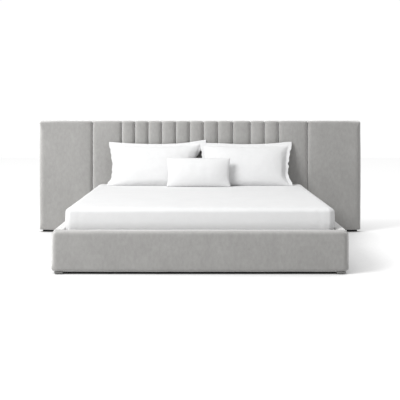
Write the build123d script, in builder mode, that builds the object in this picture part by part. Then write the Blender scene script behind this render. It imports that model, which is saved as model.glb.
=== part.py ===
from build123d import *

import os
from math import atan, cos, degrees, pi, radians, sin, sqrt

# A wide upholstered bed: channelled headboard with two wings, platform base, mattress, three pillows.
# Millimetres. The origin is on the floor under the middle of the footprint, +X runs across the bed,
# +Y towards the headboard and +Z up. The foot end faces -Y.

# Mattress and the fitted sheet drawn over it
mattress_width = 1930
mattress_length = 2030
mattress_depth = 252
mattress_corner_radius = 60
mattress_edge_radius = 30
mattress_lower_bevel = 12
sheet_thickness = 1.5
sheet_tuck_width = 90

# Gaps round the mattress and where soft pieces rest
side_gap = 10
foot_gap = 8
head_gap = 7
rest_gap = 0.3
skin_gap = 0.3

# Rails: a board with foam and cloth over its outside, its top and the upper part of its inside
floor_gap = 18
rail_height = 295
deck_height = 203
board_thickness = 28
side_foam = 35
foot_foam = 40
lip_foam = 12
top_foam = 13
rail_top_radius = 35
rail_bottom_radius = 22
rail_lip_radius = 9
rail_bulge = 4
foot_corner_radius = 42
lip_clearance = 2

# Slat deck
slat_thickness = 18
slat_width = 70
slat_count = 14
slat_end_clearance = 3
slat_middle_gap = 8
slat_margin = 14
webbing_width = 38
webbing_thickness = 1.5
ledge_width = 37
ledge_height = 35
ledge_end_gap = 2
head_rail_height = 95
head_rail_drop = 10
head_rail_setback = 20
beam_width = 60
beam_height = 80
leg_width = 50
leg_tenon_diameter = 25
leg_tenon_length = 30
tenon_clearance = 0.3
leg_place_shares = (0.17, 0.5, 0.83)
glide_height = 12
glide_inset = 2

# Steel fittings of the base
bracket_leg = 60
bracket_height = 60
bracket_thickness = 4
bracket_drop = 5
hanger_thickness = 3
hanger_seat_length = 42
hanger_cheek_height = 58
hanger_flange = 28

# Hook-on plates that hang the side rails on the headboard
plate_thickness = 3
hook_plate_width = 25
hook_plate_height = 150
hook_plate_lift = 57
hook_thickness = 4
hook_neck = 12
hook_drop = 14
hook_leg = 6
hook_pitch = 58
hook_clearance = 1
hook_slot_clearance = 4

# Headboard
headboard_height = 1055
headboard_depth = 105
wing_width = 510
wide_channel_width = 276
centre_margin = 4.5
# The eleven narrow channels, left to right, as shares of the width they fill together.
narrow_width_shares = (0.084, 0.085, 0.0865, 0.089, 0.0885, 0.0885, 0.091, 0.0955, 0.1125, 0.0895, 0.0895)
pad_depth = 50
valley_depth = 24
shoulder_radius = 20
seam_angle = 75
wing_soft_run = 140
wing_corner_radius = 48
headboard_top_radius = 28
wrap_foam = 12
turnover = 40
panel_thickness = 9
back_cover_thickness = 1.5
back_cover_gap = 1
frame_member = 45
frame_rail = 60
centre_bays = 4
joining_plate_width = 90
joining_plate_height = 40
joining_plate_thickness = 3
joining_height_shares = (0.24, 0.8)
plinth_thickness = 30
plinth_end_inset = 20

# Corner feet
foot_pad_width = 63
foot_inset = 10
foot_side_inset = 24
foot_pad_height = 12
foot_glide_diameter = 40

# Pillows
pillow_width = 872
pillow_height = 458
pillow_thickness = 150
pillow_flange = 36
pillow_flange_thickness = 5
pillow_side_draw = 52
pillow_top_draw = 30
pillow_lean_angle = 28
pillow_press = 8
pillow_gap = 8
pillow_wall_gap = 6
small_pillow_width = 595
small_pillow_height = 252
small_pillow_thickness = 118
small_pillow_side_draw = 16
small_pillow_top_draw = 12
small_pillow_lean_angle = 14
small_pillow_wall_gap = 276
pillow_section_count = 23
# How squarely the crown falls to both sides: 2 is an ellipse, and more is fuller.
pillow_fullness = 3
# The lower edge is drawn in less than the upper one, because the pillow stands on it.
pillow_lower_draw_share = 0.3

cut_overrun = 5

# Places worked out from the sizes above
foot_rail_thickness = foot_foam + board_thickness + lip_foam
overall_length = foot_rail_thickness + foot_gap + mattress_length + head_gap + headboard_depth
front_y = -overall_length / 2
foot_inner_y = front_y + foot_rail_thickness
foot_board_back_y = foot_inner_y - lip_foam
foot_board_front_y = foot_board_back_y - board_thickness
mattress_front_y = foot_inner_y + foot_gap
mattress_back_y = mattress_front_y + mattress_length
headboard_y = mattress_back_y + head_gap
back_y = headboard_y + headboard_depth
rail_inner_x = mattress_width / 2 + side_gap
board_inner_x = rail_inner_x + lip_foam
board_outer_x = board_inner_x + board_thickness
rail_outer_x = board_outer_x + side_foam
rail_bottom = floor_gap
rail_top = rail_bottom + rail_height
board_top = rail_top - top_foam
lip_bottom = deck_height + lip_clearance
slat_bottom = deck_height - slat_thickness
mattress_bottom = deck_height + rest_gap + sheet_thickness + skin_gap
mattress_top = mattress_bottom + mattress_depth
sheet_top = mattress_top + skin_gap + sheet_thickness
pillow_rest = sheet_top + rest_gap


def save(piece, name):
    """Label a finished piece and write it to its own file."""
    piece.part.label = name
    export_step(piece.part, f"parts/{name}.step")


def block(x0, x1, y0, y1, z0, z1, mode=Mode.ADD):
    """A block between two opposite corners, given in any order."""
    with Locations(((x0 + x1) / 2, (y0 + y1) / 2, (z0 + z1) / 2)):
        Box(abs(x1 - x0), abs(y1 - y0), abs(z1 - z0), mode=mode)


os.makedirs("parts", exist_ok=True)

# Headboard: where each section and each channel lies
# The middle section is as wide as the base's boards, so that the hook plates meet its lower panel.
centre_half = board_outer_x + centre_margin
narrow_channels_width = 2 * (centre_half - wide_channel_width)
wing_outer_x = centre_half + wing_width
headboard_bottom = floor_gap
headboard_top = headboard_height
channel_bottom = rail_top + lip_clearance
pad_back_y = headboard_y + pad_depth
panel_back_y = pad_back_y + panel_thickness
frame_back_y = back_y - back_cover_thickness
frame_top = headboard_top - wrap_foam
narrow_widths = [narrow_channels_width * s / sum(narrow_width_shares) for s in narrow_width_shares]
channel_widths = [wide_channel_width] + narrow_widths + [wide_channel_width]


def shoulder_and_crown(half_width):
    """The slope where a channel's shoulder passes into its crown, and the crown's radius."""
    steep = radians(seam_angle)
    left_over = valley_depth - shoulder_radius * (1 - cos(steep))
    run = half_width - shoulder_radius * sin(steep)
    slope = 2 * atan(left_over / run)
    return slope, run / sin(slope) + shoulder_radius


def channel_outline(left_x, width):
    """Plan of one channel: straight sides, a round shoulder at each seam and a crown between them."""
    slope, crown_radius = shoulder_and_crown(width / 2)
    steep = radians(seam_angle)
    turn = seam_angle - degrees(slope)
    with BuildLine() as outline:
        side = Line((left_x, back_y), (left_x, headboard_y + valley_depth))
        first = JernArc(side @ 1, (cos(steep), -sin(steep)), shoulder_radius, turn)
        crown = JernArc(first @ 1, first % 1, crown_radius, 2 * degrees(slope))
        last = JernArc(crown @ 1, crown % 1, shoulder_radius, turn)
        Polyline(last @ 1, (left_x + width, back_y), side @ 0)
    return outline.line


def wrapped_side_outline(bottom):
    """Side view of a pad that rolls over the top of its frame and turns down behind it."""
    with BuildLine() as outline:
        Polyline(
            (headboard_y, bottom),
            (headboard_y, headboard_top),
            (back_y, headboard_top),
            (back_y, frame_top - turnover),
            (frame_back_y, frame_top - turnover),
            (frame_back_y, frame_top),
            (pad_back_y, frame_top),
            (pad_back_y, bottom),
            close=True,
        )
    return outline.line


def front_top_corner():
    """The vertex of the sketch in hand that is highest and nearest the front."""
    return vertices().group_by(Axis.Y)[-1].sort_by(Axis.X)[0]


# Channels 1 and 13 are the wide ones beside the wings
channel_x = -centre_half
for number, width in enumerate(channel_widths, 1):
    with BuildPart() as channel:
        with BuildSketch(Plane.XY.offset(channel_bottom)):
            add(channel_outline(channel_x, width))
            make_face()
        extrude(amount=headboard_top - channel_bottom)
        with BuildSketch(Plane.YZ.offset(channel_x)):
            add(wrapped_side_outline(channel_bottom))
            make_face()
            fillet(front_top_corner(), headboard_top_radius)
        extrude(amount=width, mode=Mode.INTERSECT)
    save(channel, f"headboard_channel_{number:02d}")
    channel_x += width

# Wing pads: one soft seam side, a plain face and a round outer edge, wrapped over the top and the end
wing_frame_outer_x = wing_outer_x - wrap_foam
with BuildPart() as right_pad:
    slope, soft_radius = shoulder_and_crown(wing_soft_run)
    steep = radians(seam_angle)
    with BuildSketch(Plane.XY.offset(headboard_bottom)):
        with BuildLine():
            seam_side = Line((centre_half, back_y), (centre_half, headboard_y + valley_depth))
            shoulder = JernArc(
                seam_side @ 1, (cos(steep), -sin(steep)), shoulder_radius, seam_angle - degrees(slope)
            )
            swell = JernArc(shoulder @ 1, shoulder % 1, soft_radius, degrees(slope))
            face = Line(swell @ 1, (wing_outer_x - wing_corner_radius, headboard_y))
            corner = JernArc(face @ 1, (1, 0), wing_corner_radius, 90)
            Polyline(corner @ 1, (wing_outer_x, back_y), seam_side @ 0)
        make_face()
    extrude(amount=headboard_top - headboard_bottom)
    with BuildSketch(Plane.YZ.offset(centre_half)):
        with BuildLine():
            Polyline(
                (headboard_y, headboard_bottom),
                (headboard_y, headboard_top),
                (back_y, headboard_top),
                (back_y, headboard_bottom),
                close=True,
            )
        make_face()
        fillet(front_top_corner(), headboard_top_radius)
    extrude(amount=wing_width, mode=Mode.INTERSECT)
    with BuildSketch(Plane.XZ.offset(-back_y)):
        with BuildLine():
            Polyline(
                (centre_half, headboard_bottom),
                (wing_outer_x, headboard_bottom),
                (wing_outer_x, headboard_top),
                (centre_half, headboard_top),
                close=True,
            )
        make_face()
        fillet(vertices().group_by(Axis.X)[-1], headboard_top_radius)
    extrude(amount=headboard_depth, mode=Mode.INTERSECT)
    block(
        centre_half - cut_overrun, wing_frame_outer_x, pad_back_y, frame_back_y,
        headboard_bottom - cut_overrun, frame_top, mode=Mode.SUBTRACT,
    )
    block(
        centre_half - cut_overrun, wing_frame_outer_x - turnover, pad_back_y, back_y + cut_overrun,
        headboard_bottom - cut_overrun, frame_top - turnover, mode=Mode.SUBTRACT,
    )
save(right_pad, "headboard_right_pad")

with BuildPart() as left_pad:
    mirror(right_pad.part, about=Plane.YZ)
save(left_pad, "headboard_left_pad")

# Boards behind the pads
panel_spans = {
    "left": (-wing_frame_outer_x, -centre_half),
    "centre": (-centre_half, centre_half),
    "right": (centre_half, wing_frame_outer_x),
}
for name, (x0, x1) in panel_spans.items():
    with BuildPart() as panel:
        block(x0, x1, pad_back_y, panel_back_y, headboard_bottom, frame_top)
    save(panel, f"headboard_{name}_panel")

# Ladder frames, recessed at the back for the plates that join them
joining_heights = [headboard_bottom + s * (frame_top - headboard_bottom) for s in joining_height_shares]
joining_places = [(side * centre_half, z) for side in (-1, 1) for z in joining_heights]
frame_bays = {"left": 1, "centre": centre_bays, "right": 1}
# The rail that the joint between the channels and the lower panel lies on
middle_rail_top = channel_bottom + frame_rail / 2
for name, (x0, x1) in panel_spans.items():
    bays = frame_bays[name]
    bay_width = (x1 - x0 - (bays + 1) * frame_member) / bays
    with BuildPart() as frame:
        block(x0, x1, panel_back_y, frame_back_y, headboard_bottom, headboard_bottom + frame_rail)
        block(x0, x1, panel_back_y, frame_back_y, middle_rail_top - frame_rail, middle_rail_top)
        block(x0, x1, panel_back_y, frame_back_y, frame_top - frame_rail, frame_top)
        for stile in range(bays + 1):
            stile_x = x0 + stile * (frame_member + bay_width)
            block(stile_x, stile_x + frame_member, panel_back_y, frame_back_y, headboard_bottom, frame_top)
        for x, z in joining_places:
            block(
                x - joining_plate_width / 2, x + joining_plate_width / 2,
                frame_back_y - joining_plate_thickness, frame_back_y + cut_overrun,
                z - joining_plate_height / 2, z + joining_plate_height / 2, mode=Mode.SUBTRACT,
            )
    save(frame, f"headboard_{name}_frame")

with BuildPart() as joining_plates:
    for x, z in joining_places:
        block(
            x - joining_plate_width / 2, x + joining_plate_width / 2,
            frame_back_y - joining_plate_thickness, frame_back_y,
            z - joining_plate_height / 2, z + joining_plate_height / 2,
        )
save(joining_plates, "joining_plates")

# Dust covers on the back, inside the turned-over edges of the pads
wing_cover_outer_x = wing_frame_outer_x - turnover - back_cover_gap
cover_spans = {
    "left": (-wing_cover_outer_x, -centre_half - back_cover_gap / 2),
    "centre": (-centre_half + back_cover_gap / 2, centre_half - back_cover_gap / 2),
    "right": (centre_half + back_cover_gap / 2, wing_cover_outer_x),
}
for name, (x0, x1) in cover_spans.items():
    with BuildPart() as back_cover:
        block(x0, x1, frame_back_y, back_y, headboard_bottom, frame_top - turnover - back_cover_gap)
    save(back_cover, f"headboard_{name}_back_cover")

# Recessed plinths under the headboard's frames
plinth_y = (panel_back_y + frame_back_y) / 2
plinth_spans = {
    "left": (-wing_frame_outer_x + plinth_end_inset, -centre_half),
    "centre": (-centre_half, centre_half),
    "right": (centre_half, wing_frame_outer_x - plinth_end_inset),
}
for name, (x0, x1) in plinth_spans.items():
    with BuildPart() as plinth:
        half = plinth_thickness / 2
        block(x0, x1, plinth_y - half, plinth_y + half, 0, headboard_bottom)
    save(plinth, f"headboard_{name}_plinth")

# Hook plates: one pair at each side rail, the slotted plate on the headboard, the hooked one on the rail
hook_x = (board_inner_x + board_outer_x) / 2
hook_plate_bottom = rail_bottom + hook_plate_lift
hook_plate_z = hook_plate_bottom + hook_plate_height / 2
hook_heights = (hook_plate_z - hook_pitch / 2, hook_plate_z + hook_pitch / 2)
post_plate_y = headboard_y - plate_thickness
board_end_y = post_plate_y - plate_thickness
slot_height = hook_neck + hook_drop + hook_slot_clearance
slot_width = hook_thickness + 2 * hook_clearance
mortise_drop = hook_drop + hook_clearance
mortise_depth = hook_leg + 3 * hook_clearance


with BuildPart() as headboard_hook_plates:
    for side in (-1, 1):
        block(
            side * hook_x - hook_plate_width / 2, side * hook_x + hook_plate_width / 2,
            post_plate_y, headboard_y, hook_plate_bottom, hook_plate_bottom + hook_plate_height,
        )
        for z in hook_heights:
            block(
                side * hook_x - slot_width / 2, side * hook_x + slot_width / 2,
                post_plate_y - cut_overrun, headboard_y + cut_overrun,
                z - hook_neck / 2, z - hook_neck / 2 + slot_height, mode=Mode.SUBTRACT,
            )
save(headboard_hook_plates, "headboard_hook_plates")

with BuildPart() as rail_hook_plates:
    for side in (-1, 1):
        block(
            side * hook_x - hook_plate_width / 2, side * hook_x + hook_plate_width / 2,
            board_end_y, post_plate_y, hook_plate_bottom, hook_plate_bottom + hook_plate_height,
        )
        for z in hook_heights:
            leg_y = headboard_y + hook_clearance
            with BuildSketch(Plane.YZ.offset(side * hook_x - hook_thickness / 2)):
                with BuildLine():
                    Polyline(
                        (post_plate_y, z - hook_neck / 2),
                        (leg_y, z - hook_neck / 2),
                        (leg_y, z - hook_neck / 2 - hook_drop),
                        (leg_y + hook_leg, z - hook_neck / 2 - hook_drop),
                        (leg_y + hook_leg, z + hook_neck / 2),
                        (post_plate_y, z + hook_neck / 2),
                        close=True,
                    )
                make_face()
                fillet(vertices().group_by(Axis.X)[-1], hook_leg / 3)
            extrude(amount=hook_thickness)
save(rail_hook_plates, "rail_hook_plates")

# Plain lower panel of the headboard, with pockets for the hooks
with BuildPart() as base_panel:
    block(-centre_half, centre_half, headboard_y, pad_back_y, headboard_bottom, channel_bottom)
    for side in (-1, 1):
        for z in hook_heights:
            block(
                side * hook_x - slot_width / 2, side * hook_x + slot_width / 2,
                headboard_y - cut_overrun, headboard_y + mortise_depth,
                z - hook_neck / 2 - mortise_drop, z - hook_neck / 2 + slot_height, mode=Mode.SUBTRACT,
            )
save(base_panel, "headboard_base_panel")

# Places in the base
head_rail_back_y = headboard_y - head_rail_setback
head_rail_front_y = head_rail_back_y - board_thickness
head_rail_top = slat_bottom - head_rail_drop
head_rail_bottom = head_rail_top - head_rail_height
ledge_front_y = foot_board_back_y
ledge_back_y = head_rail_front_y - ledge_end_gap
ledge_bottom = slat_bottom - ledge_height
beam_bottom = slat_bottom - beam_height
bracket_top = ledge_bottom - bracket_drop
bracket_bottom = bracket_top - bracket_height
# Each corner: its side, the face it stands against and the way along Y into the bed
corners = [
    (side, face_y, inward)
    for side in (-1, 1)
    for face_y, inward in ((foot_board_back_y, 1), (head_rail_front_y, -1))
]
# Each end of the beam: the face that it hangs on and the way along Y into the bed
beam_ends = ((foot_board_back_y, 1), (head_rail_front_y, -1))
hanger_bottom = beam_bottom - hanger_thickness
hanger_top = hanger_bottom + hanger_cheek_height


# Rail boards
for side, name in ((-1, "left"), (1, "right")):
    with BuildPart() as rail_board:
        block(
            side * board_inner_x, side * board_outer_x,
            foot_board_back_y, board_end_y, rail_bottom, board_top,
        )
    save(rail_board, f"{name}_rail_board")

with BuildPart() as foot_board:
    block(-board_outer_x, board_outer_x, foot_board_front_y, foot_board_back_y, rail_bottom, board_top)
save(foot_board, "foot_rail_board")

with BuildPart() as head_rail:
    block(
        -board_inner_x, board_inner_x, head_rail_front_y, head_rail_back_y, head_rail_bottom, head_rail_top
    )
save(head_rail, "head_rail")

# Upholstery of the side rails: foam outside, over the top and down inside to the mattress deck
with BuildPart() as right_cover:
    with BuildSketch(Plane.XZ.offset(-foot_board_back_y)):
        with BuildLine():
            ThreePointArc(
                (rail_outer_x - rail_bulge, rail_bottom),
                (rail_outer_x, rail_bottom + rail_height / 2),
                (rail_outer_x - rail_bulge, rail_top),
            )
            Polyline(
                (rail_outer_x - rail_bulge, rail_top),
                (rail_inner_x, rail_top),
                (rail_inner_x, lip_bottom),
                (board_inner_x, lip_bottom),
                (board_inner_x, board_top),
                (board_outer_x, board_top),
                (board_outer_x, rail_bottom),
                (rail_outer_x - rail_bulge, rail_bottom),
            )
        make_face()
        fillet(vertices().group_by(Axis.Y)[-1].sort_by(Axis.X)[-1], rail_top_radius)
        fillet(vertices().group_by(Axis.Y)[0].sort_by(Axis.X)[-1], rail_bottom_radius)
        fillet(vertices().group_by(Axis.X)[0].sort_by(Axis.Y)[-1], rail_lip_radius)
    extrude(amount=-(headboard_y - foot_board_back_y))
save(right_cover, "right_rail_cover")

with BuildPart() as left_cover:
    mirror(right_cover.part, about=Plane.YZ)
save(left_cover, "left_rail_cover")

# Upholstery of the foot rail, which runs past both side rails and turns the corners
with BuildPart() as foot_cover:
    with BuildSketch(Plane.XY.offset(rail_bottom)):
        with BuildLine():
            ThreePointArc(
                (-rail_outer_x, front_y + rail_bulge),
                (0, front_y),
                (rail_outer_x, front_y + rail_bulge),
            )
            Polyline(
                (rail_outer_x, front_y + rail_bulge),
                (rail_outer_x, foot_board_back_y),
                (-rail_outer_x, foot_board_back_y),
                (-rail_outer_x, front_y + rail_bulge),
            )
        make_face()
        fillet(vertices().group_by(Axis.Y)[0], foot_corner_radius)
    extrude(amount=rail_height)
    back_edges = edges().filter_by(Axis.X).group_by(Axis.Y)[-1]
    fillet(edges().group_by(Axis.Z)[-1] - back_edges, rail_top_radius)
    back_edges = edges().filter_by(Axis.X).group_by(Axis.Y)[-1]
    fillet(edges().group_by(Axis.Z)[0] - back_edges, rail_bottom_radius)
    block(-rail_inner_x, rail_inner_x, foot_board_back_y, foot_inner_y, lip_bottom, rail_top)
    lip_edge = edges().filter_by(Axis.X).group_by(Axis.Y)[-1].sort_by(Axis.Z)[-1]
    fillet(lip_edge, rail_lip_radius)
    block(
        -board_outer_x, board_outer_x, foot_board_front_y, foot_board_back_y,
        rail_bottom - cut_overrun, board_top, mode=Mode.SUBTRACT,
    )
save(foot_cover, "foot_rail_cover")

# Plinths under the rail boards, and the feet at the two foot corners
foot_pad_outer_x = rail_outer_x - foot_side_inset
foot_pad_inner_x = foot_pad_outer_x - foot_pad_width
foot_pad_front_y = front_y + foot_inset
foot_pad_back_y = foot_pad_front_y + foot_pad_width
foot_pad_bottom = rail_bottom - foot_pad_height
foot_pad_x = (foot_pad_outer_x + foot_pad_inner_x) / 2
foot_pad_y = (foot_pad_front_y + foot_pad_back_y) / 2

with BuildPart() as side_plinths:
    for side in (-1, 1):
        block(side * board_inner_x, side * board_outer_x, foot_inner_y, board_end_y, 0, rail_bottom)
save(side_plinths, "side_plinths")

with BuildPart() as foot_plinth:
    reach = foot_pad_inner_x - foot_side_inset
    block(-reach, reach, foot_board_front_y, foot_board_back_y, 0, rail_bottom)
save(foot_plinth, "foot_plinth")

with BuildPart() as corner_feet:
    for side in (-1, 1):
        with BuildSketch(Plane.XY.offset(foot_pad_bottom)):
            with Locations((side * foot_pad_x, foot_pad_y)):
                RectangleRounded(foot_pad_width, foot_pad_width, foot_pad_width / 6)
        extrude(amount=foot_pad_height)
save(corner_feet, "corner_feet")

with BuildPart() as foot_glides:
    for side in (-1, 1):
        with BuildSketch():
            with Locations((side * foot_pad_x, foot_pad_y)):
                Circle(foot_glide_diameter / 2)
        extrude(amount=foot_pad_bottom)
save(foot_glides, "corner_foot_glides")

# Ledges that carry the slats, the middle beam in its hangers, and the beam's legs
with BuildPart() as slat_ledges:
    for side in (-1, 1):
        block(
            side * (board_inner_x - ledge_width), side * board_inner_x,
            ledge_front_y, ledge_back_y, ledge_bottom, slat_bottom,
        )
save(slat_ledges, "slat_ledges")

beam_front_y = foot_board_back_y + hanger_thickness
beam_back_y = head_rail_front_y - hanger_thickness
leg_places = [beam_front_y + s * (beam_back_y - beam_front_y) for s in leg_place_shares]
with BuildPart() as centre_beam:
    block(-beam_width / 2, beam_width / 2, beam_front_y, beam_back_y, beam_bottom, slat_bottom)
    with BuildSketch(Plane.XY.offset(beam_bottom)):
        with Locations(*[(0, y) for y in leg_places]):
            Circle(leg_tenon_diameter / 2 + tenon_clearance)
    extrude(amount=leg_tenon_length + tenon_clearance, mode=Mode.SUBTRACT)
save(centre_beam, "centre_beam")

with BuildPart() as centre_legs:
    for y in leg_places:
        reach = leg_width / 2
        block(-reach, reach, y - reach, y + reach, glide_height, beam_bottom)
        with BuildSketch(Plane.XY.offset(beam_bottom)):
            with Locations((0, y)):
                Circle(leg_tenon_diameter / 2)
        extrude(amount=leg_tenon_length)
save(centre_legs, "centre_legs")

with BuildPart() as leg_glides:
    reach = leg_width / 2 - glide_inset
    for y in leg_places:
        block(-reach, reach, y - reach, y + reach, 0, glide_height)
save(leg_glides, "centre_leg_glides")

with BuildPart() as beam_hangers:
    for face_y, inward in beam_ends:
        flange_x = beam_width / 2 + hanger_thickness + hanger_flange
        block(-flange_x, flange_x, face_y, face_y + inward * hanger_thickness, hanger_bottom, hanger_top)
        for side in (-1, 1):
            block(
                side * beam_width / 2, side * (beam_width / 2 + hanger_thickness),
                face_y, face_y + inward * hanger_seat_length, hanger_bottom, hanger_top,
            )
        block(
            -beam_width / 2 - hanger_thickness, beam_width / 2 + hanger_thickness,
            face_y, face_y + inward * hanger_seat_length, hanger_bottom, beam_bottom,
        )
save(beam_hangers, "beam_hangers")

with BuildPart() as corner_brackets:
    for side, face_y, inward in corners:
        block(
            side * (board_inner_x - bracket_thickness), side * board_inner_x,
            face_y, face_y + inward * bracket_leg, bracket_bottom, bracket_top,
        )
        block(
            side * (board_inner_x - bracket_leg), side * board_inner_x,
            face_y, face_y + inward * bracket_thickness, bracket_bottom, bracket_top,
        )
save(corner_brackets, "corner_brackets")

# Two rolls of slats side by side, each held at even spacing by a strap of webbing
slat_outer_x = board_inner_x - slat_end_clearance
slat_inner_x = slat_middle_gap / 2
first_slat_y = foot_inner_y + slat_margin
slat_pitch = (ledge_back_y - slat_margin - slat_width - first_slat_y) / (slat_count - 1)
slat_places = [first_slat_y + i * slat_pitch for i in range(slat_count)]
for side, name in ((-1, "left"), (1, "right")):
    with BuildPart() as slats:
        for y in slat_places:
            block(side * slat_inner_x, side * slat_outer_x, y, y + slat_width, slat_bottom, deck_height)
    save(slats, f"{name}_slats")

with BuildPart() as webbing:
    for side in (-1, 1):
        strap_x = side * (slat_inner_x + slat_outer_x) / 2
        block(
            strap_x - webbing_width / 2, strap_x + webbing_width / 2,
            slat_places[0], slat_places[-1] + slat_width, slat_bottom - webbing_thickness, slat_bottom,
        )
save(webbing, "slat_webbing")

# Mattress and its fitted sheet
mattress_y = (mattress_front_y + mattress_back_y) / 2


def mattress_form(grow):
    """The mattress's rounded block, grown on every side."""
    with BuildPart() as form:
        with BuildSketch(Plane.XY.offset(mattress_bottom - grow)):
            with Locations((0, mattress_y)):
                RectangleRounded(
                    mattress_width + 2 * grow, mattress_length + 2 * grow, mattress_corner_radius + grow
                )
        extrude(amount=mattress_depth + 2 * grow)
        fillet(edges().group_by(Axis.Z)[-1], mattress_edge_radius + grow)
        chamfer(edges().group_by(Axis.Z)[0], mattress_lower_bevel)
    return form.part


with BuildPart() as mattress:
    add(mattress_form(0))
save(mattress, "mattress")

with BuildPart() as fitted_sheet:
    add(mattress_form(skin_gap + sheet_thickness))
    add(mattress_form(skin_gap), mode=Mode.SUBTRACT)
    block(
        -mattress_width / 2 + sheet_tuck_width, mattress_width / 2 - sheet_tuck_width,
        mattress_front_y + sheet_tuck_width, mattress_back_y - sheet_tuck_width,
        mattress_bottom - skin_gap - sheet_thickness - cut_overrun, mattress_bottom, mode=Mode.SUBTRACT,
    )
save(fitted_sheet, "fitted_sheet")


def leaning_plane(middle_x, top_y, lean, height):
    """Plane of a pillow's seam: it rests on the sheet and leans back so that its top edge is at top_y."""
    tilt = radians(lean)
    origin = (middle_x, top_y - height * sin(tilt), pillow_rest - pillow_press)
    return Plane(origin=origin, x_dir=(1, 0, 0), z_dir=(0, -cos(tilt), sin(tilt)))


def flange_outline(width, height, side_draw, top_draw):
    """Four drawn-in arcs between a pillow's corners, the lower one least because it bears the weight."""
    with BuildLine() as outline:
        ThreePointArc((-width / 2, 0), (0, pillow_lower_draw_share * top_draw), (width / 2, 0))
        ThreePointArc((width / 2, 0), (width / 2 - side_draw, height / 2), (width / 2, height))
        ThreePointArc((width / 2, height), (0, height - top_draw), (-width / 2, height))
        ThreePointArc((-width / 2, height), (side_draw - width / 2, height / 2), (-width / 2, 0))
    return outline.line


def stuffing(plane, low, width, height, thickness, side_draw, top_draw):
    """A pillow's crowned body: a loft across its width, with both ends drawn in."""
    with BuildPart() as body:
        for number in range(pillow_section_count):
            place = -cos(number * pi / (pillow_section_count - 1))
            fall = top_draw * (1 - place**2)
            top = low + height - fall
            bottom = low + pillow_lower_draw_share * fall
            middle = (top + bottom) / 2
            swell = (thickness - pillow_flange_thickness) * sqrt(1 - abs(place) ** pillow_fullness)
            crown = (swell + pillow_flange_thickness) / 2
            start = plane.from_local_coords((place * width / 2, 0, 0))
            across = Plane(origin=start, x_dir=plane.y_dir, z_dir=plane.x_dir)
            with BuildSketch(across):
                with BuildLine():
                    ThreePointArc((bottom, 0), (middle, crown), (top, 0))
                    ThreePointArc((top, 0), (middle, -crown), (bottom, 0))
                make_face()
        loft(ruled=True)
        with BuildSketch(plane):
            with BuildLine():
                right = ThreePointArc(
                    (width / 2, low), (width / 2 - side_draw, low + height / 2), (width / 2, low + height)
                )
                left = ThreePointArc(
                    (-width / 2, low + height), (side_draw - width / 2, low + height / 2), (-width / 2, low)
                )
                Line(right @ 1, left @ 0)
                Line(left @ 1, right @ 0)
            make_face()
        extrude(amount=thickness, both=True, mode=Mode.INTERSECT)
    return body.part


# Two large pillows with a flat flange all round, leaning on the headboard
body_width = pillow_width - 2 * pillow_flange
body_height = pillow_height - 2 * pillow_flange
large_top_y = headboard_y - pillow_wall_gap - pillow_flange_thickness
for side, name in ((-1, "left"), (1, "right")):
    middle_x = side * (pillow_width + pillow_gap) / 2
    seam = leaning_plane(middle_x, large_top_y, pillow_lean_angle, pillow_height)
    with BuildPart() as large_pillow:
        with BuildSketch(seam.offset(-pillow_flange_thickness / 2)):
            add(flange_outline(pillow_width, pillow_height, pillow_side_draw, pillow_top_draw))
            make_face()
        extrude(amount=pillow_flange_thickness)
        add(stuffing(
            seam, pillow_flange, body_width, body_height, pillow_thickness,
            pillow_side_draw, pillow_top_draw,
        ))
        split(bisect_by=Plane.XY.offset(pillow_rest), keep=Keep.TOP)
    save(large_pillow, f"pillow_{name}")

# One small pillow without a flange, in front of them
small_top_y = headboard_y - small_pillow_wall_gap
seam = leaning_plane(0, small_top_y, small_pillow_lean_angle, small_pillow_height)
with BuildPart() as small_pillow:
    add(stuffing(
        seam, 0, small_pillow_width, small_pillow_height, small_pillow_thickness,
        small_pillow_side_draw, small_pillow_top_draw,
    ))
    split(bisect_by=Plane.XY.offset(pillow_rest), keep=Keep.TOP)
save(small_pillow, "small_pillow")
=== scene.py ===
import math

import bmesh
import bpy
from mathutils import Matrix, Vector, noise


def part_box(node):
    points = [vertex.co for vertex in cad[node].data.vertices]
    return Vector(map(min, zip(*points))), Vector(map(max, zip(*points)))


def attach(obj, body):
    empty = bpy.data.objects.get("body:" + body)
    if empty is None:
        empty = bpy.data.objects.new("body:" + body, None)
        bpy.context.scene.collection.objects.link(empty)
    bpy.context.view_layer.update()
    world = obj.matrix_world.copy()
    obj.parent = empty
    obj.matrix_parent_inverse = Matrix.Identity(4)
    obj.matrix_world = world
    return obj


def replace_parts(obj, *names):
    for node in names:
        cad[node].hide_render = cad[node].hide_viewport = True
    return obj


# The looks of an upholstered bed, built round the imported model. Metres, in the model's own frame.

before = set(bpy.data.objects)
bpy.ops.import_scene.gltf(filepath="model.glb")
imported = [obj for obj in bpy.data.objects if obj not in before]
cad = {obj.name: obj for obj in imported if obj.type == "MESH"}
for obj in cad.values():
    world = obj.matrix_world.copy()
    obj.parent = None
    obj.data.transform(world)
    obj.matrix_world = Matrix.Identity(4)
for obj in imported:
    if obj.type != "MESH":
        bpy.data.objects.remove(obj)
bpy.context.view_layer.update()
for node in cad.values():
    node.data.materials.clear()

# Places nearer together than this lie on one line
on_line = 0.0001

# Upholstery
seam_gap = 0.0005
seam_fade = 0.03
channel_shoulder = 0.031
channel_shoulder_depth = 0.030
channel_crown_depth = 0.0105
wing_swell = 0.15
top_radius = 0.026
back_fold_radius = 0.006
wing_corner_radius = 0.056
corner_tip_radius = 0.022
hem_radius = 0.014
turnover = 0.04
end_swell = 0.004
grid_step = 0.016

# Unevenness of foam under cloth, and the gathers beside a seam
broad_swell_size = 0.16
broad_swell_depth = 0.0011
small_swell_size = 0.05
small_swell_depth = 0.0005
gather_reach = 0.016
gather_depth = 0.0016
broad_gather_size = 0.019
small_gather_size = 0.008

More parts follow.
